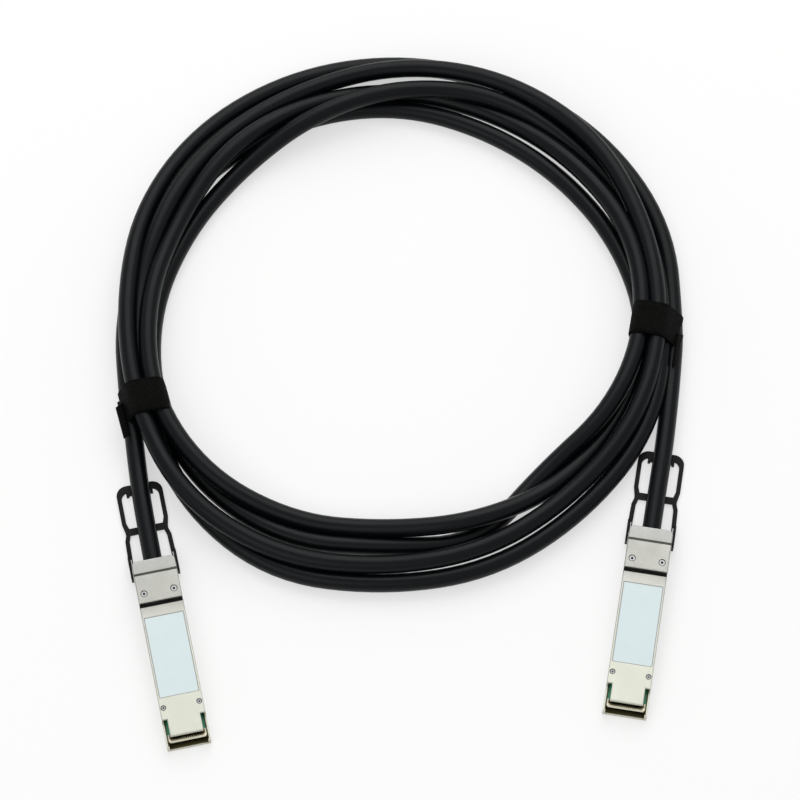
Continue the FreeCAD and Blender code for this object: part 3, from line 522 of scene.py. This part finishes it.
# %% Grain that varies the colour and the height
grain_group, grain_in, grain_out = new_group(
    "surface_grain",
    [("Vector", "Vector"), ("Color", "Color"), ("Scale", "Float"), ("Variation", "Float")],
    [("Color", "Color"), ("Height", "Float")],
)
speckle = add_node(grain_group, "ShaderNodeTexNoise", {"Detail": 3.0, "Roughness": 0.6})
centred = add_node(grain_group, "ShaderNodeMath", {1: 0.5}, operation="SUBTRACT")
swing = add_node(grain_group, "ShaderNodeMath", operation="MULTIPLY")
level = add_node(grain_group, "ShaderNodeMath", {1: 1.0}, operation="ADD")
tinted = add_node(grain_group, "ShaderNodeHueSaturation")
grain_group.links.new(grain_in.outputs["Vector"], speckle.inputs["Vector"])
grain_group.links.new(grain_in.outputs["Scale"], speckle.inputs["Scale"])
grain_group.links.new(speckle.outputs[0], centred.inputs[0])
grain_group.links.new(centred.outputs[0], swing.inputs[0])
grain_group.links.new(grain_in.outputs["Variation"], swing.inputs[1])
grain_group.links.new(swing.outputs[0], level.inputs[0])
grain_group.links.new(level.outputs[0], tinted.inputs["Value"])
grain_group.links.new(grain_in.outputs["Color"], tinted.inputs["Color"])
grain_group.links.new(tinted.outputs[0], grain_out.inputs["Color"])
grain_group.links.new(speckle.outputs[0], grain_out.inputs["Height"])
print("group:", grain_group.name)

# %% Patches of gloss from handling
gloss_group, gloss_in, gloss_out = new_group(
    "handled_gloss",
    [("Vector", "Vector"), ("Scale", "Float"), ("Glossy", "Float"), ("Dull", "Float")],
    [("Roughness", "Float")],
)
patches = add_node(gloss_group, "ShaderNodeTexNoise", {"Detail": 2.0, "Roughness": 0.5})
spread = add_node(gloss_group, "ShaderNodeMapRange", {"From Min": 0.3, "From Max": 0.7})
gloss_group.links.new(gloss_in.outputs["Vector"], patches.inputs["Vector"])
gloss_group.links.new(gloss_in.outputs["Scale"], patches.inputs["Scale"])
gloss_group.links.new(patches.outputs[0], spread.inputs["Value"])
gloss_group.links.new(gloss_in.outputs["Glossy"], spread.inputs["To Min"])
gloss_group.links.new(gloss_in.outputs["Dull"], spread.inputs["To Max"])
gloss_group.links.new(spread.outputs[0], gloss_out.inputs["Roughness"])
print("group:", gloss_group.name)

# %% Softened edges
edge_group, edge_in, edge_out = new_group(
    "soft_edge",
    [("Radius", "Float")],
    [("Normal", "Vector"), ("Edge", "Float")],
)
rounded = add_node(edge_group, "ShaderNodeBevel", samples=4)
flat = add_node(edge_group, "ShaderNodeNewGeometry")
facing = add_node(edge_group, "ShaderNodeVectorMath", operation="DOT_PRODUCT")
edge_mask = add_node(edge_group, "ShaderNodeMapRange", {"From Min": 0.98, "From Max": 0.75})
edge_group.links.new(edge_in.outputs["Radius"], rounded.inputs["Radius"])
edge_group.links.new(rounded.outputs[0], facing.inputs[0])
edge_group.links.new(flat.outputs["Normal"], facing.inputs[1])
edge_group.links.new(facing.outputs["Value"], edge_mask.inputs["Value"])
edge_group.links.new(rounded.outputs[0], edge_out.inputs["Normal"])
edge_group.links.new(edge_mask.outputs[0], edge_out.inputs["Edge"])
print("group:", edge_group.name)

# %% [markdown]
# A finish on a plug follows the plug, not the room, so its coordinates are moved to the plug's mouth
# and turned with it: X goes across the plug, Y back from the mouth and Z up. The helpers below put the
# shared groups into a material.

# %% Helpers that place the groups
BUMP_STRENGTH = 0.6
BOX_FADE = 0.04 * MM


def plug_axes(tree, side):
    place, turn = PLUGS[side]
    spot = add_node(tree, "ShaderNodeTexCoord")
    moved = {"Location": place, "Rotation": (0, 0, turn)}
    axes = add_node(tree, "ShaderNodeMapping", moved, vector_type="TEXTURE")
    tree.links.new(spot.outputs["Object"], axes.inputs["Vector"])
    return axes.outputs["Vector"]


def drawn_out(tree, vector, scale):
    stretch = add_node(tree, "ShaderNodeMapping", {"Scale": scale})
    tree.links.new(vector, stretch.inputs["Vector"])
    return stretch.outputs["Vector"]


def add_grain(tree, shader, vector, colour, scale, variation, depth):
    grain = add_node(tree, "ShaderNodeGroup", node_tree=grain_group)
    grain.inputs["Scale"].default_value = scale
    grain.inputs["Variation"].default_value = variation
    bump = add_node(tree, "ShaderNodeBump", {"Strength": BUMP_STRENGTH, "Distance": depth})
    if isinstance(colour, bpy.types.NodeSocket):
        tree.links.new(colour, grain.inputs["Color"])
    else:
        grain.inputs["Color"].default_value = (*colour, 1)
    tree.links.new(vector, grain.inputs["Vector"])
    tree.links.new(grain.outputs["Height"], bump.inputs["Height"])
    tree.links.new(grain.outputs["Color"], shader.inputs["Base Color"])
    tree.links.new(bump.outputs[0], shader.inputs["Normal"])
    return grain, bump


def add_gloss(tree, shader, vector, scale, glossy, dull):
    gloss = add_node(tree, "ShaderNodeGroup", node_tree=gloss_group)
    gloss.inputs["Scale"].default_value = scale
    gloss.inputs["Glossy"].default_value = glossy
    gloss.inputs["Dull"].default_value = dull
    tree.links.new(vector, gloss.inputs["Vector"])
    tree.links.new(gloss.outputs[0], shader.inputs["Roughness"])


def add_soft_edge(tree, bump, radius):
    edge = add_node(tree, "ShaderNodeGroup", node_tree=edge_group)
    edge.inputs["Radius"].default_value = radius
    tree.links.new(edge.outputs["Normal"], bump.inputs["Normal"])
    return edge.outputs["Edge"]


def part_of(tree, vector, axis):
    split = add_node(tree, "ShaderNodeSeparateXYZ")
    tree.links.new(vector, split.inputs[0])
    return split.outputs[axis]


def past_edge(tree, value, middle, half):
    offset = add_node(tree, "ShaderNodeMath", {1: middle}, operation="SUBTRACT")
    size = add_node(tree, "ShaderNodeMath", operation="ABSOLUTE")
    past = add_node(tree, "ShaderNodeMath", {1: half}, operation="SUBTRACT")
    tree.links.new(value, offset.inputs[0])
    tree.links.new(offset.outputs[0], size.inputs[0])
    tree.links.new(size.outputs[0], past.inputs[0])
    return past.outputs[0]


def mix_colours(tree, share, first, second):
    mix = add_node(tree, "ShaderNodeMix", data_type="RGBA")
    tree.links.new(share, mix.inputs[0])
    for socket, colour in ((mix.inputs[6], first), (mix.inputs[7], second)):
        if isinstance(colour, bpy.types.NodeSocket):
            tree.links.new(colour, socket)
        else:
            socket.default_value = (*colour, 1)
    return mix.outputs[2]


def within_box(tree, axes, middle, half):
    """One inside the box that is given by its middle and half sizes on a plug's axes, nought outside."""
    farthest = past_edge(tree, part_of(tree, axes, "X"), middle[0], half[0])
    for axis, centre, reach in zip("YZ", middle[1:], half[1:]):
        larger = add_node(tree, "ShaderNodeMath", operation="MAXIMUM")
        tree.links.new(farthest, larger.inputs[0])
        tree.links.new(past_edge(tree, part_of(tree, axes, axis), centre, reach), larger.inputs[1])
        farthest = larger.outputs[0]
    inside = add_node(tree, "ShaderNodeMapRange", {"From Min": 0.0, "From Max": -BOX_FADE})
    tree.links.new(farthest, inside.inputs["Value"])
    return inside.outputs[0]


def from_axis(tree, axes, across, along):
    """Distance from the upright axis of the nearer one of a pair of screws."""
    one_side = add_node(tree, "ShaderNodeMath", operation="ABSOLUTE")
    spot = add_node(tree, "ShaderNodeCombineXYZ")
    reach = add_node(tree, "ShaderNodeVectorMath", {1: (across, along, 0)}, operation="DISTANCE")
    tree.links.new(part_of(tree, axes, "X"), one_side.inputs[0])
    tree.links.new(one_side.outputs[0], spot.inputs["X"])
    tree.links.new(part_of(tree, axes, "Y"), spot.inputs["Y"])
    tree.links.new(spot.outputs[0], reach.inputs[0])
    return reach.outputs["Value"]


def tone_ramp(tree, value, length, tones):
    """Colours at places along a value, given as places and colours."""
    ratio = add_node(tree, "ShaderNodeMath", {1: length}, operation="DIVIDE")
    ramp = add_node(tree, "ShaderNodeValToRGB")
    tree.links.new(value, ratio.inputs[0])
    tree.links.new(ratio.outputs[0], ramp.inputs[0])
    stops = ramp.color_ramp.elements
    while len(stops) < len(tones):
        stops.new(1.0)
    for stop, (place, colour) in zip(stops, tones):
        stop.position = place * MM / length
        stop.color = (*colour, 1)
    return ramp.outputs[0]


def dress(name, material):
    slots = nodes[name].data.materials
    slots.clear()
    slots.append(material)


print("plugs to dress:", list(PLUGS))

# %% [markdown]
# ## The plated shells
# The plug's two halves are die-cast zinc with a satin nickel plate. The nose is polished a little by
# the tool and looks pale and warm, and the thicker hood has a greyer, grainier skin. A colour ramp
# along the plug gives both, and it paints a shadow of the hood's step in front of the gasket slot, a
# highlight on the hood's front lip and shade in the dark seam in front of the rear band. The edges are
# a little lighter than the faces, partly from wear and partly as painted highlight. Painted shade
# darkens the screw seats, and inside the shell the casting is painted dark as shade.

# %% Shell finish
PLUG_LENGTH = 81.1 * MM
# Along the plug: the nose, a painted shadow of the hood's step before the gasket slot, a painted highlight
# on the hood's front lip, the hood, painted shade in the seam before the rear band, and the band.
SHELL_TONES_AND_PAINTED_LIGHT = [
    (0.0, (0.56, 0.55, 0.47)),
    (3.6, (0.60, 0.61, 0.53)),
    (20.0, (0.60, 0.61, 0.53)),
    (56.0, (0.52, 0.52, 0.48)),
    (60.7, (0.40, 0.40, 0.37)),
    (62.3, (0.62, 0.62, 0.58)),
    (62.9, (0.40, 0.40, 0.37)),
    (74.5, (0.42, 0.42, 0.39)),
    (74.8, (0.06, 0.06, 0.05)),
    (75.4, (0.06, 0.06, 0.05)),
    (75.6, (0.38, 0.38, 0.36)),
    (81.1, (0.38, 0.38, 0.37)),
]
# Each pair of screws: how far across and along, and the radius of the painted shade round its seat.
SEATS = {
    "hood_screws": (6.3 * MM, 66.3 * MM, 1.55 * MM),
    "front_screws": (7.5 * MM, 16.25 * MM, 1.25 * MM),
}
SEAT_FADE = 0.1 * MM
PAINTED_SEAT_SHADE = (0.07, 0.07, 0.06)
# Inside the shell and on the inner edge of its side walls the casting is painted dark: painted shade in
# the mouth, the notches and the hollow body.
INSIDE_MIDDLE = (0, 40.7 * MM, 4.25 * MM)
INSIDE_HALF = (8.55 * MM, 40.2 * MM, 3.09 * MM)
PAINTED_INSIDE_SHADE = (0.075, 0.066, 0.030)
# The colour that the edges lighten towards: partly wear, partly painted highlight.
WORN_AND_LIT_PLATE = (0.80, 0.79, 0.74)
WEAR_AND_HIGHLIGHT_SHARE = 0.35


# A dark ring round each screw seat is painted shade.
def shade_seats(tree, axes, colour):
    for across, along, radius in SEATS.values():
        fade = {"From Min": radius, "From Max": radius - SEAT_FADE}
        shade = add_node(tree, "ShaderNodeMapRange", fade)
        tree.links.new(from_axis(tree, axes, across, along), shade.inputs["Value"])
        colour = mix_colours(tree, shade.outputs[0], colour, PAINTED_SEAT_SHADE)
    return colour


def satin_plate(side):
    material, tree, shader = new_finish("satin_plate_" + side)
    axes = plug_axes(tree, side)
    colour = tone_ramp(tree, part_of(tree, axes, "Y"), PLUG_LENGTH, SHELL_TONES_AND_PAINTED_LIGHT)
    colour = shade_seats(tree, axes, colour)
    grain, bump = add_grain(tree, shader, axes, colour, scale=2600, variation=0.35, depth=0.06 * MM)
    add_gloss(tree, shader, axes, scale=90, glossy=0.34, dull=0.46)
    # The edges are lightened partly as wear and partly as painted highlight.
    worn_and_lit_edge = add_soft_edge(tree, bump, radius=0.25 * MM)
    faint = add_node(tree, "ShaderNodeMath", {1: WEAR_AND_HIGHLIGHT_SHARE}, operation="MULTIPLY")
    tree.links.new(worn_and_lit_edge, faint.inputs[0])
    polished_and_lit = mix_colours(tree, faint.outputs[0], grain.outputs["Color"], WORN_AND_LIT_PLATE)
    # Painted shade inside the shell.
    inside = within_box(tree, axes, INSIDE_MIDDLE, INSIDE_HALF)
    plate_colour = mix_colours(tree, inside, polished_and_lit, PAINTED_INSIDE_SHADE)
    tree.links.new(plate_colour, shader.inputs["Base Color"])
    set_shader(shader, Metallic=1.0)
    return material


for side in PLUGS:
    plate = satin_plate(side)
    dress(side + "_lower_shell", plate)
    dress(side + "_upper_shell", plate)
print("shells dressed:", 2 * len(PLUGS))

# %% [markdown]
# ## The label
# The label is a blank pale-blue film with a fine grey line round its edge. The line follows the plug's
# own axes: how far a point lies past the line's inner edge, across or along, decides the colour.

# %% Label finish
LABEL_HALF_WIDTH = 8.3 * MM
LABEL_HALF_LENGTH = 17.775 * MM
LABEL_MIDDLE = 38.425 * MM
LABEL_LINE = 0.3 * MM
LINE_FADE = 0.05 * MM
LABEL_BLUE = (0.68, 0.78, 0.79)
LINE_GREY = (0.36, 0.37, 0.36)


def label_film(side):
    material, tree, shader = new_finish("label_film_" + side)
    axes = plug_axes(tree, side)
    across = past_edge(tree, part_of(tree, axes, "X"), 0, LABEL_HALF_WIDTH - LABEL_LINE)
    along = past_edge(tree, part_of(tree, axes, "Y"), LABEL_MIDDLE, LABEL_HALF_LENGTH - LABEL_LINE)
    outside = add_node(tree, "ShaderNodeMath", operation="MAXIMUM")
    line = add_node(tree, "ShaderNodeMapRange", {"From Min": 0.0, "From Max": LINE_FADE})
    tree.links.new(across, outside.inputs[0])
    tree.links.new(along, outside.inputs[1])
    tree.links.new(outside.outputs[0], line.inputs["Value"])
    colour = mix_colours(tree, line.outputs[0], LABEL_BLUE, LINE_GREY)
    add_grain(tree, shader, axes, colour, scale=120, variation=0.08, depth=0.01 * MM)
    add_gloss(tree, shader, axes, scale=60, glossy=0.42, dull=0.55)
    return material


for side in PLUGS:
    dress(side + "_label", label_film(side))
print("labels dressed:", len(PLUGS))


# %% [markdown]
# ## The circuit card and what it carries
# The card shows at the mouth and in the two notches: green solder mask on its faces, bare pale laminate
# on its cut edges and round its front, and between the gold contacts a dark row, which is painted shade
# under the shell's tongue. A cut edge is found by its normal, which lies flat.

# %% Card finish
CONTACT_STRIP = 5.6 * MM
STRIP_FADE = 0.1 * MM
CONTACT_ROW_MIDDLE = (0, 4.2 * MM, 4.4 * MM)
CONTACT_ROW_HALF = (7.3 * MM, 1.42 * MM, 1.0 * MM)
BARE_LAMINATE = (0.90, 0.88, 0.70)
SOLDER_MASK = (0.014, 0.25, 0.12)
# Painted shade under the tongue, between the contacts.
PAINTED_SHADE_UNDER_TONGUE = (0.006, 0.007, 0.006)


def card_laminate(side):
    material, tree, shader = new_finish("card_laminate_" + side)
    axes = plug_axes(tree, side)
    shape = add_node(tree, "ShaderNodeNewGeometry")
    upright = add_node(tree, "ShaderNodeMath", operation="ABSOLUTE")
    cut_edge = add_node(tree, "ShaderNodeMapRange", {"From Min": 0.6, "From Max": 0.4})
    contact_shade = within_box(tree, axes, CONTACT_ROW_MIDDLE, CONTACT_ROW_HALF)
    fade = {"From Min": CONTACT_STRIP, "From Max": CONTACT_STRIP - STRIP_FADE}
    strip = add_node(tree, "ShaderNodeMapRange", fade)
    tree.links.new(part_of(tree, shape.outputs["Normal"], "Z"), upright.inputs[0])
    tree.links.new(upright.outputs[0], cut_edge.inputs["Value"])
    tree.links.new(part_of(tree, axes, "Y"), strip.inputs["Value"])
    faces = mix_colours(tree, strip.outputs[0], SOLDER_MASK, BARE_LAMINATE)
    faces = mix_colours(tree, contact_shade, faces, PAINTED_SHADE_UNDER_TONGUE)
    colour = mix_colours(tree, cut_edge.outputs[0], faces, BARE_LAMINATE)
    add_grain(tree, shader, axes, colour, scale=700, variation=0.3, depth=0.02 * MM)
    add_gloss(tree, shader, axes, scale=150, glossy=0.3, dull=0.42)
    return material


for side in PLUGS:
    dress(side + "_paddle_card", card_laminate(side))
print("cards dressed:", len(PLUGS))


# %% Contacts, chip and capacitors
CHIP_BLACK = (0.014, 0.014, 0.015)
CERAMIC_BROWN = (0.36, 0.26, 0.16)
BRUSHED = (1, 0.08, 1)
GOLD = (0.90, 0.80, 0.54)
SHADED_GOLD = (0.10, 0.07, 0.03)
# Behind their front edge the pads are painted dark: painted shade under the tongue.
CONTACT_TONES = [(0.0, GOLD), (3.3, GOLD), (3.6, SHADED_GOLD), (5.6, SHADED_GOLD)]


def gold_plate(side):
    material, tree, shader = new_finish("contact_gold_" + side)
    axes = plug_axes(tree, side)
    brushed = drawn_out(tree, axes, BRUSHED)
    colour = tone_ramp(tree, part_of(tree, axes, "Y"), CONTACT_STRIP, CONTACT_TONES)
    add_grain(tree, shader, brushed, colour, scale=6000, variation=0.25, depth=0.01 * MM)
    add_gloss(tree, shader, axes, scale=400, glossy=0.22, dull=0.34)
    set_shader(shader, Metallic=1.0)
    return material


def moulded_chip(side):
    material, tree, shader = new_finish("moulded_chip_" + side)
    axes = plug_axes(tree, side)
    add_grain(tree, shader, axes, CHIP_BLACK, scale=5000, variation=0.5, depth=0.04 * MM)
    add_gloss(tree, shader, axes, scale=300, glossy=0.5, dull=0.62)
    return material


def fired_ceramic(side):
    material, tree, shader = new_finish("fired_ceramic_" + side)
    axes = plug_axes(tree, side)
    add_grain(tree, shader, axes, CERAMIC_BROWN, scale=4000, variation=0.4, depth=0.03 * MM)
    add_gloss(tree, shader, axes, scale=500, glossy=0.45, dull=0.6)
    return material


for side in PLUGS:
    dress(side + "_contact_pads", gold_plate(side))
    dress(side + "_memory_chip", moulded_chip(side))
    dress(side + "_coupling_capacitors", fired_ceramic(side))
print("card pieces dressed:", 3 * len(PLUGS))


# %% [markdown]
# ## Gasket, screws, latches and pull tab
# The gasket is a black rubber strip in its slot. The screws are plated steel with a hexagon socket, and
# the shadow in the socket and round the head is what shows from a step away, so a ramp over the
# distance from each screw's axis gives both. The latch arms and springs are stamped from strip, so
# their grain runs along the plug. The pull tab is moulded in black plastic with a satin skin.

# %% Gasket finish
RUBBER_BLACK = (0.005, 0.005, 0.005)


def gasket_rubber(side):
    material, tree, shader = new_finish("gasket_rubber_" + side)
    axes = plug_axes(tree, side)
    add_grain(tree, shader, axes, RUBBER_BLACK, scale=3500, variation=0.6, depth=0.05 * MM)
    add_gloss(tree, shader, axes, scale=200, glossy=0.6, dull=0.78)
    set_shader(shader, Specular_IOR_Level=0.15)
    return material


for side in PLUGS:
    dress(side + "_shield_gasket", gasket_rubber(side))
print("gaskets dressed:", len(PLUGS))

# %% Screw finish
HEADS = {"hood_screws": 1.35 * MM, "front_screws": 0.95 * MM}
HEAD_TONES = [(0.0, 0.015), (0.36, 0.02), (0.44, 0.42), (0.76, 0.48), (0.88, 0.12), (1.0, 0.05)]


def screw_steel(side, name):
    across, along, _ = SEATS[name]
    material, tree, shader = new_finish(name + "_steel_" + side)
    axes = plug_axes(tree, side)
    tones = [(place * HEADS[name] / MM, (tone, tone, tone)) for place, tone in HEAD_TONES]
    colour = tone_ramp(tree, from_axis(tree, axes, across, along), HEADS[name], tones)
    add_grain(tree, shader, axes, colour, scale=5000, variation=0.3, depth=0.03 * MM)
    add_gloss(tree, shader, axes, scale=600, glossy=0.26, dull=0.4)
    set_shader(shader, Metallic=1.0)
    return material


for side in PLUGS:
    for name in HEADS:
        dress(side + "_" + name, screw_steel(side, name))
print("screws dressed:", 2 * len(PLUGS), "pairs")


# %% Latch and spring finish
STRIP_STEEL = (0.34, 0.34, 0.33)
ROLLED = (1, 0.04, 1)


def latch_steel(side):
    material, tree, shader = new_finish("latch_steel_" + side)
    axes = plug_axes(tree, side)
    rolled = drawn_out(tree, axes, ROLLED)
    _, bump = add_grain(tree, shader, rolled, STRIP_STEEL, scale=5000, variation=0.5, depth=0.03 * MM)
    add_gloss(tree, shader, rolled, scale=900, glossy=0.3, dull=0.45)
    add_soft_edge(tree, bump, radius=0.15 * MM)
    set_shader(shader, Metallic=1.0, Anisotropic=0.4)
    return material


for side in PLUGS:
    strip_steel = latch_steel(side)
    dress(side + "_latch_arms", strip_steel)
    spring_pairs[side].data.materials.append(strip_steel)
print("latches and springs dressed:", 2 * len(PLUGS))


# %% Pull tab finish
TAB_BLACK = (0.0042, 0.0042, 0.0045)


def tab_plastic(side):
    material, tree, shader = new_finish("tab_plastic_" + side)
    axes = plug_axes(tree, side)
    _, bump = add_grain(tree, shader, axes, TAB_BLACK, scale=3000, variation=0.5, depth=0.05 * MM)
    add_gloss(tree, shader, axes, scale=120, glossy=0.36, dull=0.5)
    add_soft_edge(tree, bump, radius=0.3 * MM)
    set_shader(shader, Specular_IOR_Level=0.14)
    return material


for side in PLUGS:
    dress(side + "_pull_tab", tab_plastic(side))
print("pull tabs dressed:", len(PLUGS))


# %% Ferrule and wire pairs
FERRULE_NICKEL = (0.55, 0.54, 0.50)
FOIL_SILVER = (0.50, 0.54, 0.60)
WOUND = (1, 2.5, 1)


def ferrule_metal(side):
    material, tree, shader = new_finish("ferrule_metal_" + side)
    axes = plug_axes(tree, side)
    add_grain(tree, shader, axes, FERRULE_NICKEL, scale=2500, variation=0.4, depth=0.05 * MM)
    add_gloss(tree, shader, axes, scale=250, glossy=0.3, dull=0.45)
    set_shader(shader, Metallic=1.0)
    return material


def foil_wrap(side):
    material, tree, shader = new_finish("foil_wrap_" + side)
    axes = plug_axes(tree, side)
    wound = drawn_out(tree, axes, WOUND)
    add_grain(tree, shader, wound, FOIL_SILVER, scale=900, variation=0.6, depth=0.1 * MM)
    add_gloss(tree, shader, axes, scale=700, glossy=0.28, dull=0.5)
    set_shader(shader, Metallic=0.85)
    return material


for side in PLUGS:
    dress(side + "_crimp_ferrule", ferrule_metal(side))
    dress(side + "_twinax_pairs", foil_wrap(side))
print("cable ends dressed:", 2 * len(PLUGS))

# %% [markdown]
# ## The jacket
# The jacket is black extruded plastic with a satin skin that shows long soft highlights. It has a very
# fine matt grain and patches that handling has polished. The pattern lies in space, so it needs no seam
# along the cable.

# %% Jacket finish
JACKET_BLACK = (0.0022, 0.0030, 0.0039)
jacket, jacket_tree, jacket_shader = new_finish("cable_jacket")
jacket_spot = add_node(jacket_tree, "ShaderNodeTexCoord").outputs["Object"]
add_grain(jacket_tree, jacket_shader, jacket_spot, JACKET_BLACK,
          scale=1400, variation=0.5, depth=0.06 * MM)
add_gloss(jacket_tree, jacket_shader, jacket_spot, scale=45, glossy=0.27, dull=0.40)
set_shader(jacket_shader, Specular_IOR_Level=0.16)
curve.materials.append(jacket)
print("jacket finish:", jacket.name)

# %% [markdown]
# ## The woven ties
# The strap is a dense black weave with a finished border along both edges. The weave follows the strap
# round its bends, so it reads the map that was written while the strap was flat, in millimetres. Two
# waves, along and across, take turns in a chequer, as warp and weft do.

# %% Tie finish
THREAD = 0.9
THREAD_WAVE = math.pi / 10 / THREAD
THREAD_BLACK = (0.0055, 0.0055, 0.0046)
BORDER_BLACK = (0.0028, 0.0028, 0.0024)
# Between the threads the weave is darkened: painted shade.
PAINTED_SHADE_BETWEEN_THREADS = (0.001, 0.001, 0.001)
BORDER_WIDTH = 1.4
BORDER_FADE = 0.2
fabric, fabric_tree, fabric_shader = new_finish("tie_fabric")
weave_spot = add_node(fabric_tree, "ShaderNodeUVMap", uv_map="weave").outputs["UV"]
chequer = add_node(fabric_tree, "ShaderNodeTexChecker", {"Scale": 1 / THREAD})
warp = add_node(fabric_tree, "ShaderNodeTexWave", {"Scale": THREAD_WAVE}, bands_direction="X")
weft = add_node(fabric_tree, "ShaderNodeTexWave", {"Scale": THREAD_WAVE}, bands_direction="Y")
threads = add_node(fabric_tree, "ShaderNodeMix", data_type="FLOAT")
fabric_tree.links.new(weave_spot, chequer.inputs["Vector"])
fabric_tree.links.new(weave_spot, warp.inputs["Vector"])
fabric_tree.links.new(weave_spot, weft.inputs["Vector"])
fabric_tree.links.new(chequer.outputs["Fac"], threads.inputs[0])
fabric_tree.links.new(warp.outputs["Fac"], threads.inputs[2])
fabric_tree.links.new(weft.outputs["Fac"], threads.inputs[3])
across_strap = part_of(fabric_tree, weave_spot, "Y")
border = past_edge(fabric_tree, across_strap, 0, STRAP_WIDTH / 2 - BORDER_WIDTH)
border_share = add_node(fabric_tree, "ShaderNodeMapRange", {"From Min": 0.0, "From Max": BORDER_FADE})
fabric_tree.links.new(border, border_share.inputs["Value"])
dyed = mix_colours(fabric_tree, border_share.outputs[0], THREAD_BLACK, BORDER_BLACK)
woven = mix_colours(fabric_tree, threads.outputs[0], PAINTED_SHADE_BETWEEN_THREADS, dyed)
_, nap = add_grain(fabric_tree, fabric_shader, weave_spot, woven, scale=6.0, variation=0.7, depth=0.1 * MM)
weave_bump = add_node(fabric_tree, "ShaderNodeBump", {"Strength": 0.8, "Distance": 0.3 * MM})
fabric_tree.links.new(threads.outputs[0], weave_bump.inputs["Height"])
fabric_tree.links.new(nap.outputs[0], weave_bump.inputs["Normal"])
fabric_tree.links.new(weave_bump.outputs[0], fabric_shader.inputs["Normal"])
add_gloss(fabric_tree, fabric_shader, weave_spot, scale=0.4, glossy=0.75, dull=0.95)
set_shader(fabric_shader, Specular_IOR_Level=0.06, Sheen_Weight=0.01)
left_strap.data.materials.append(fabric)
right_strap.data.materials.append(fabric)
print("tie finish:", fabric.name)
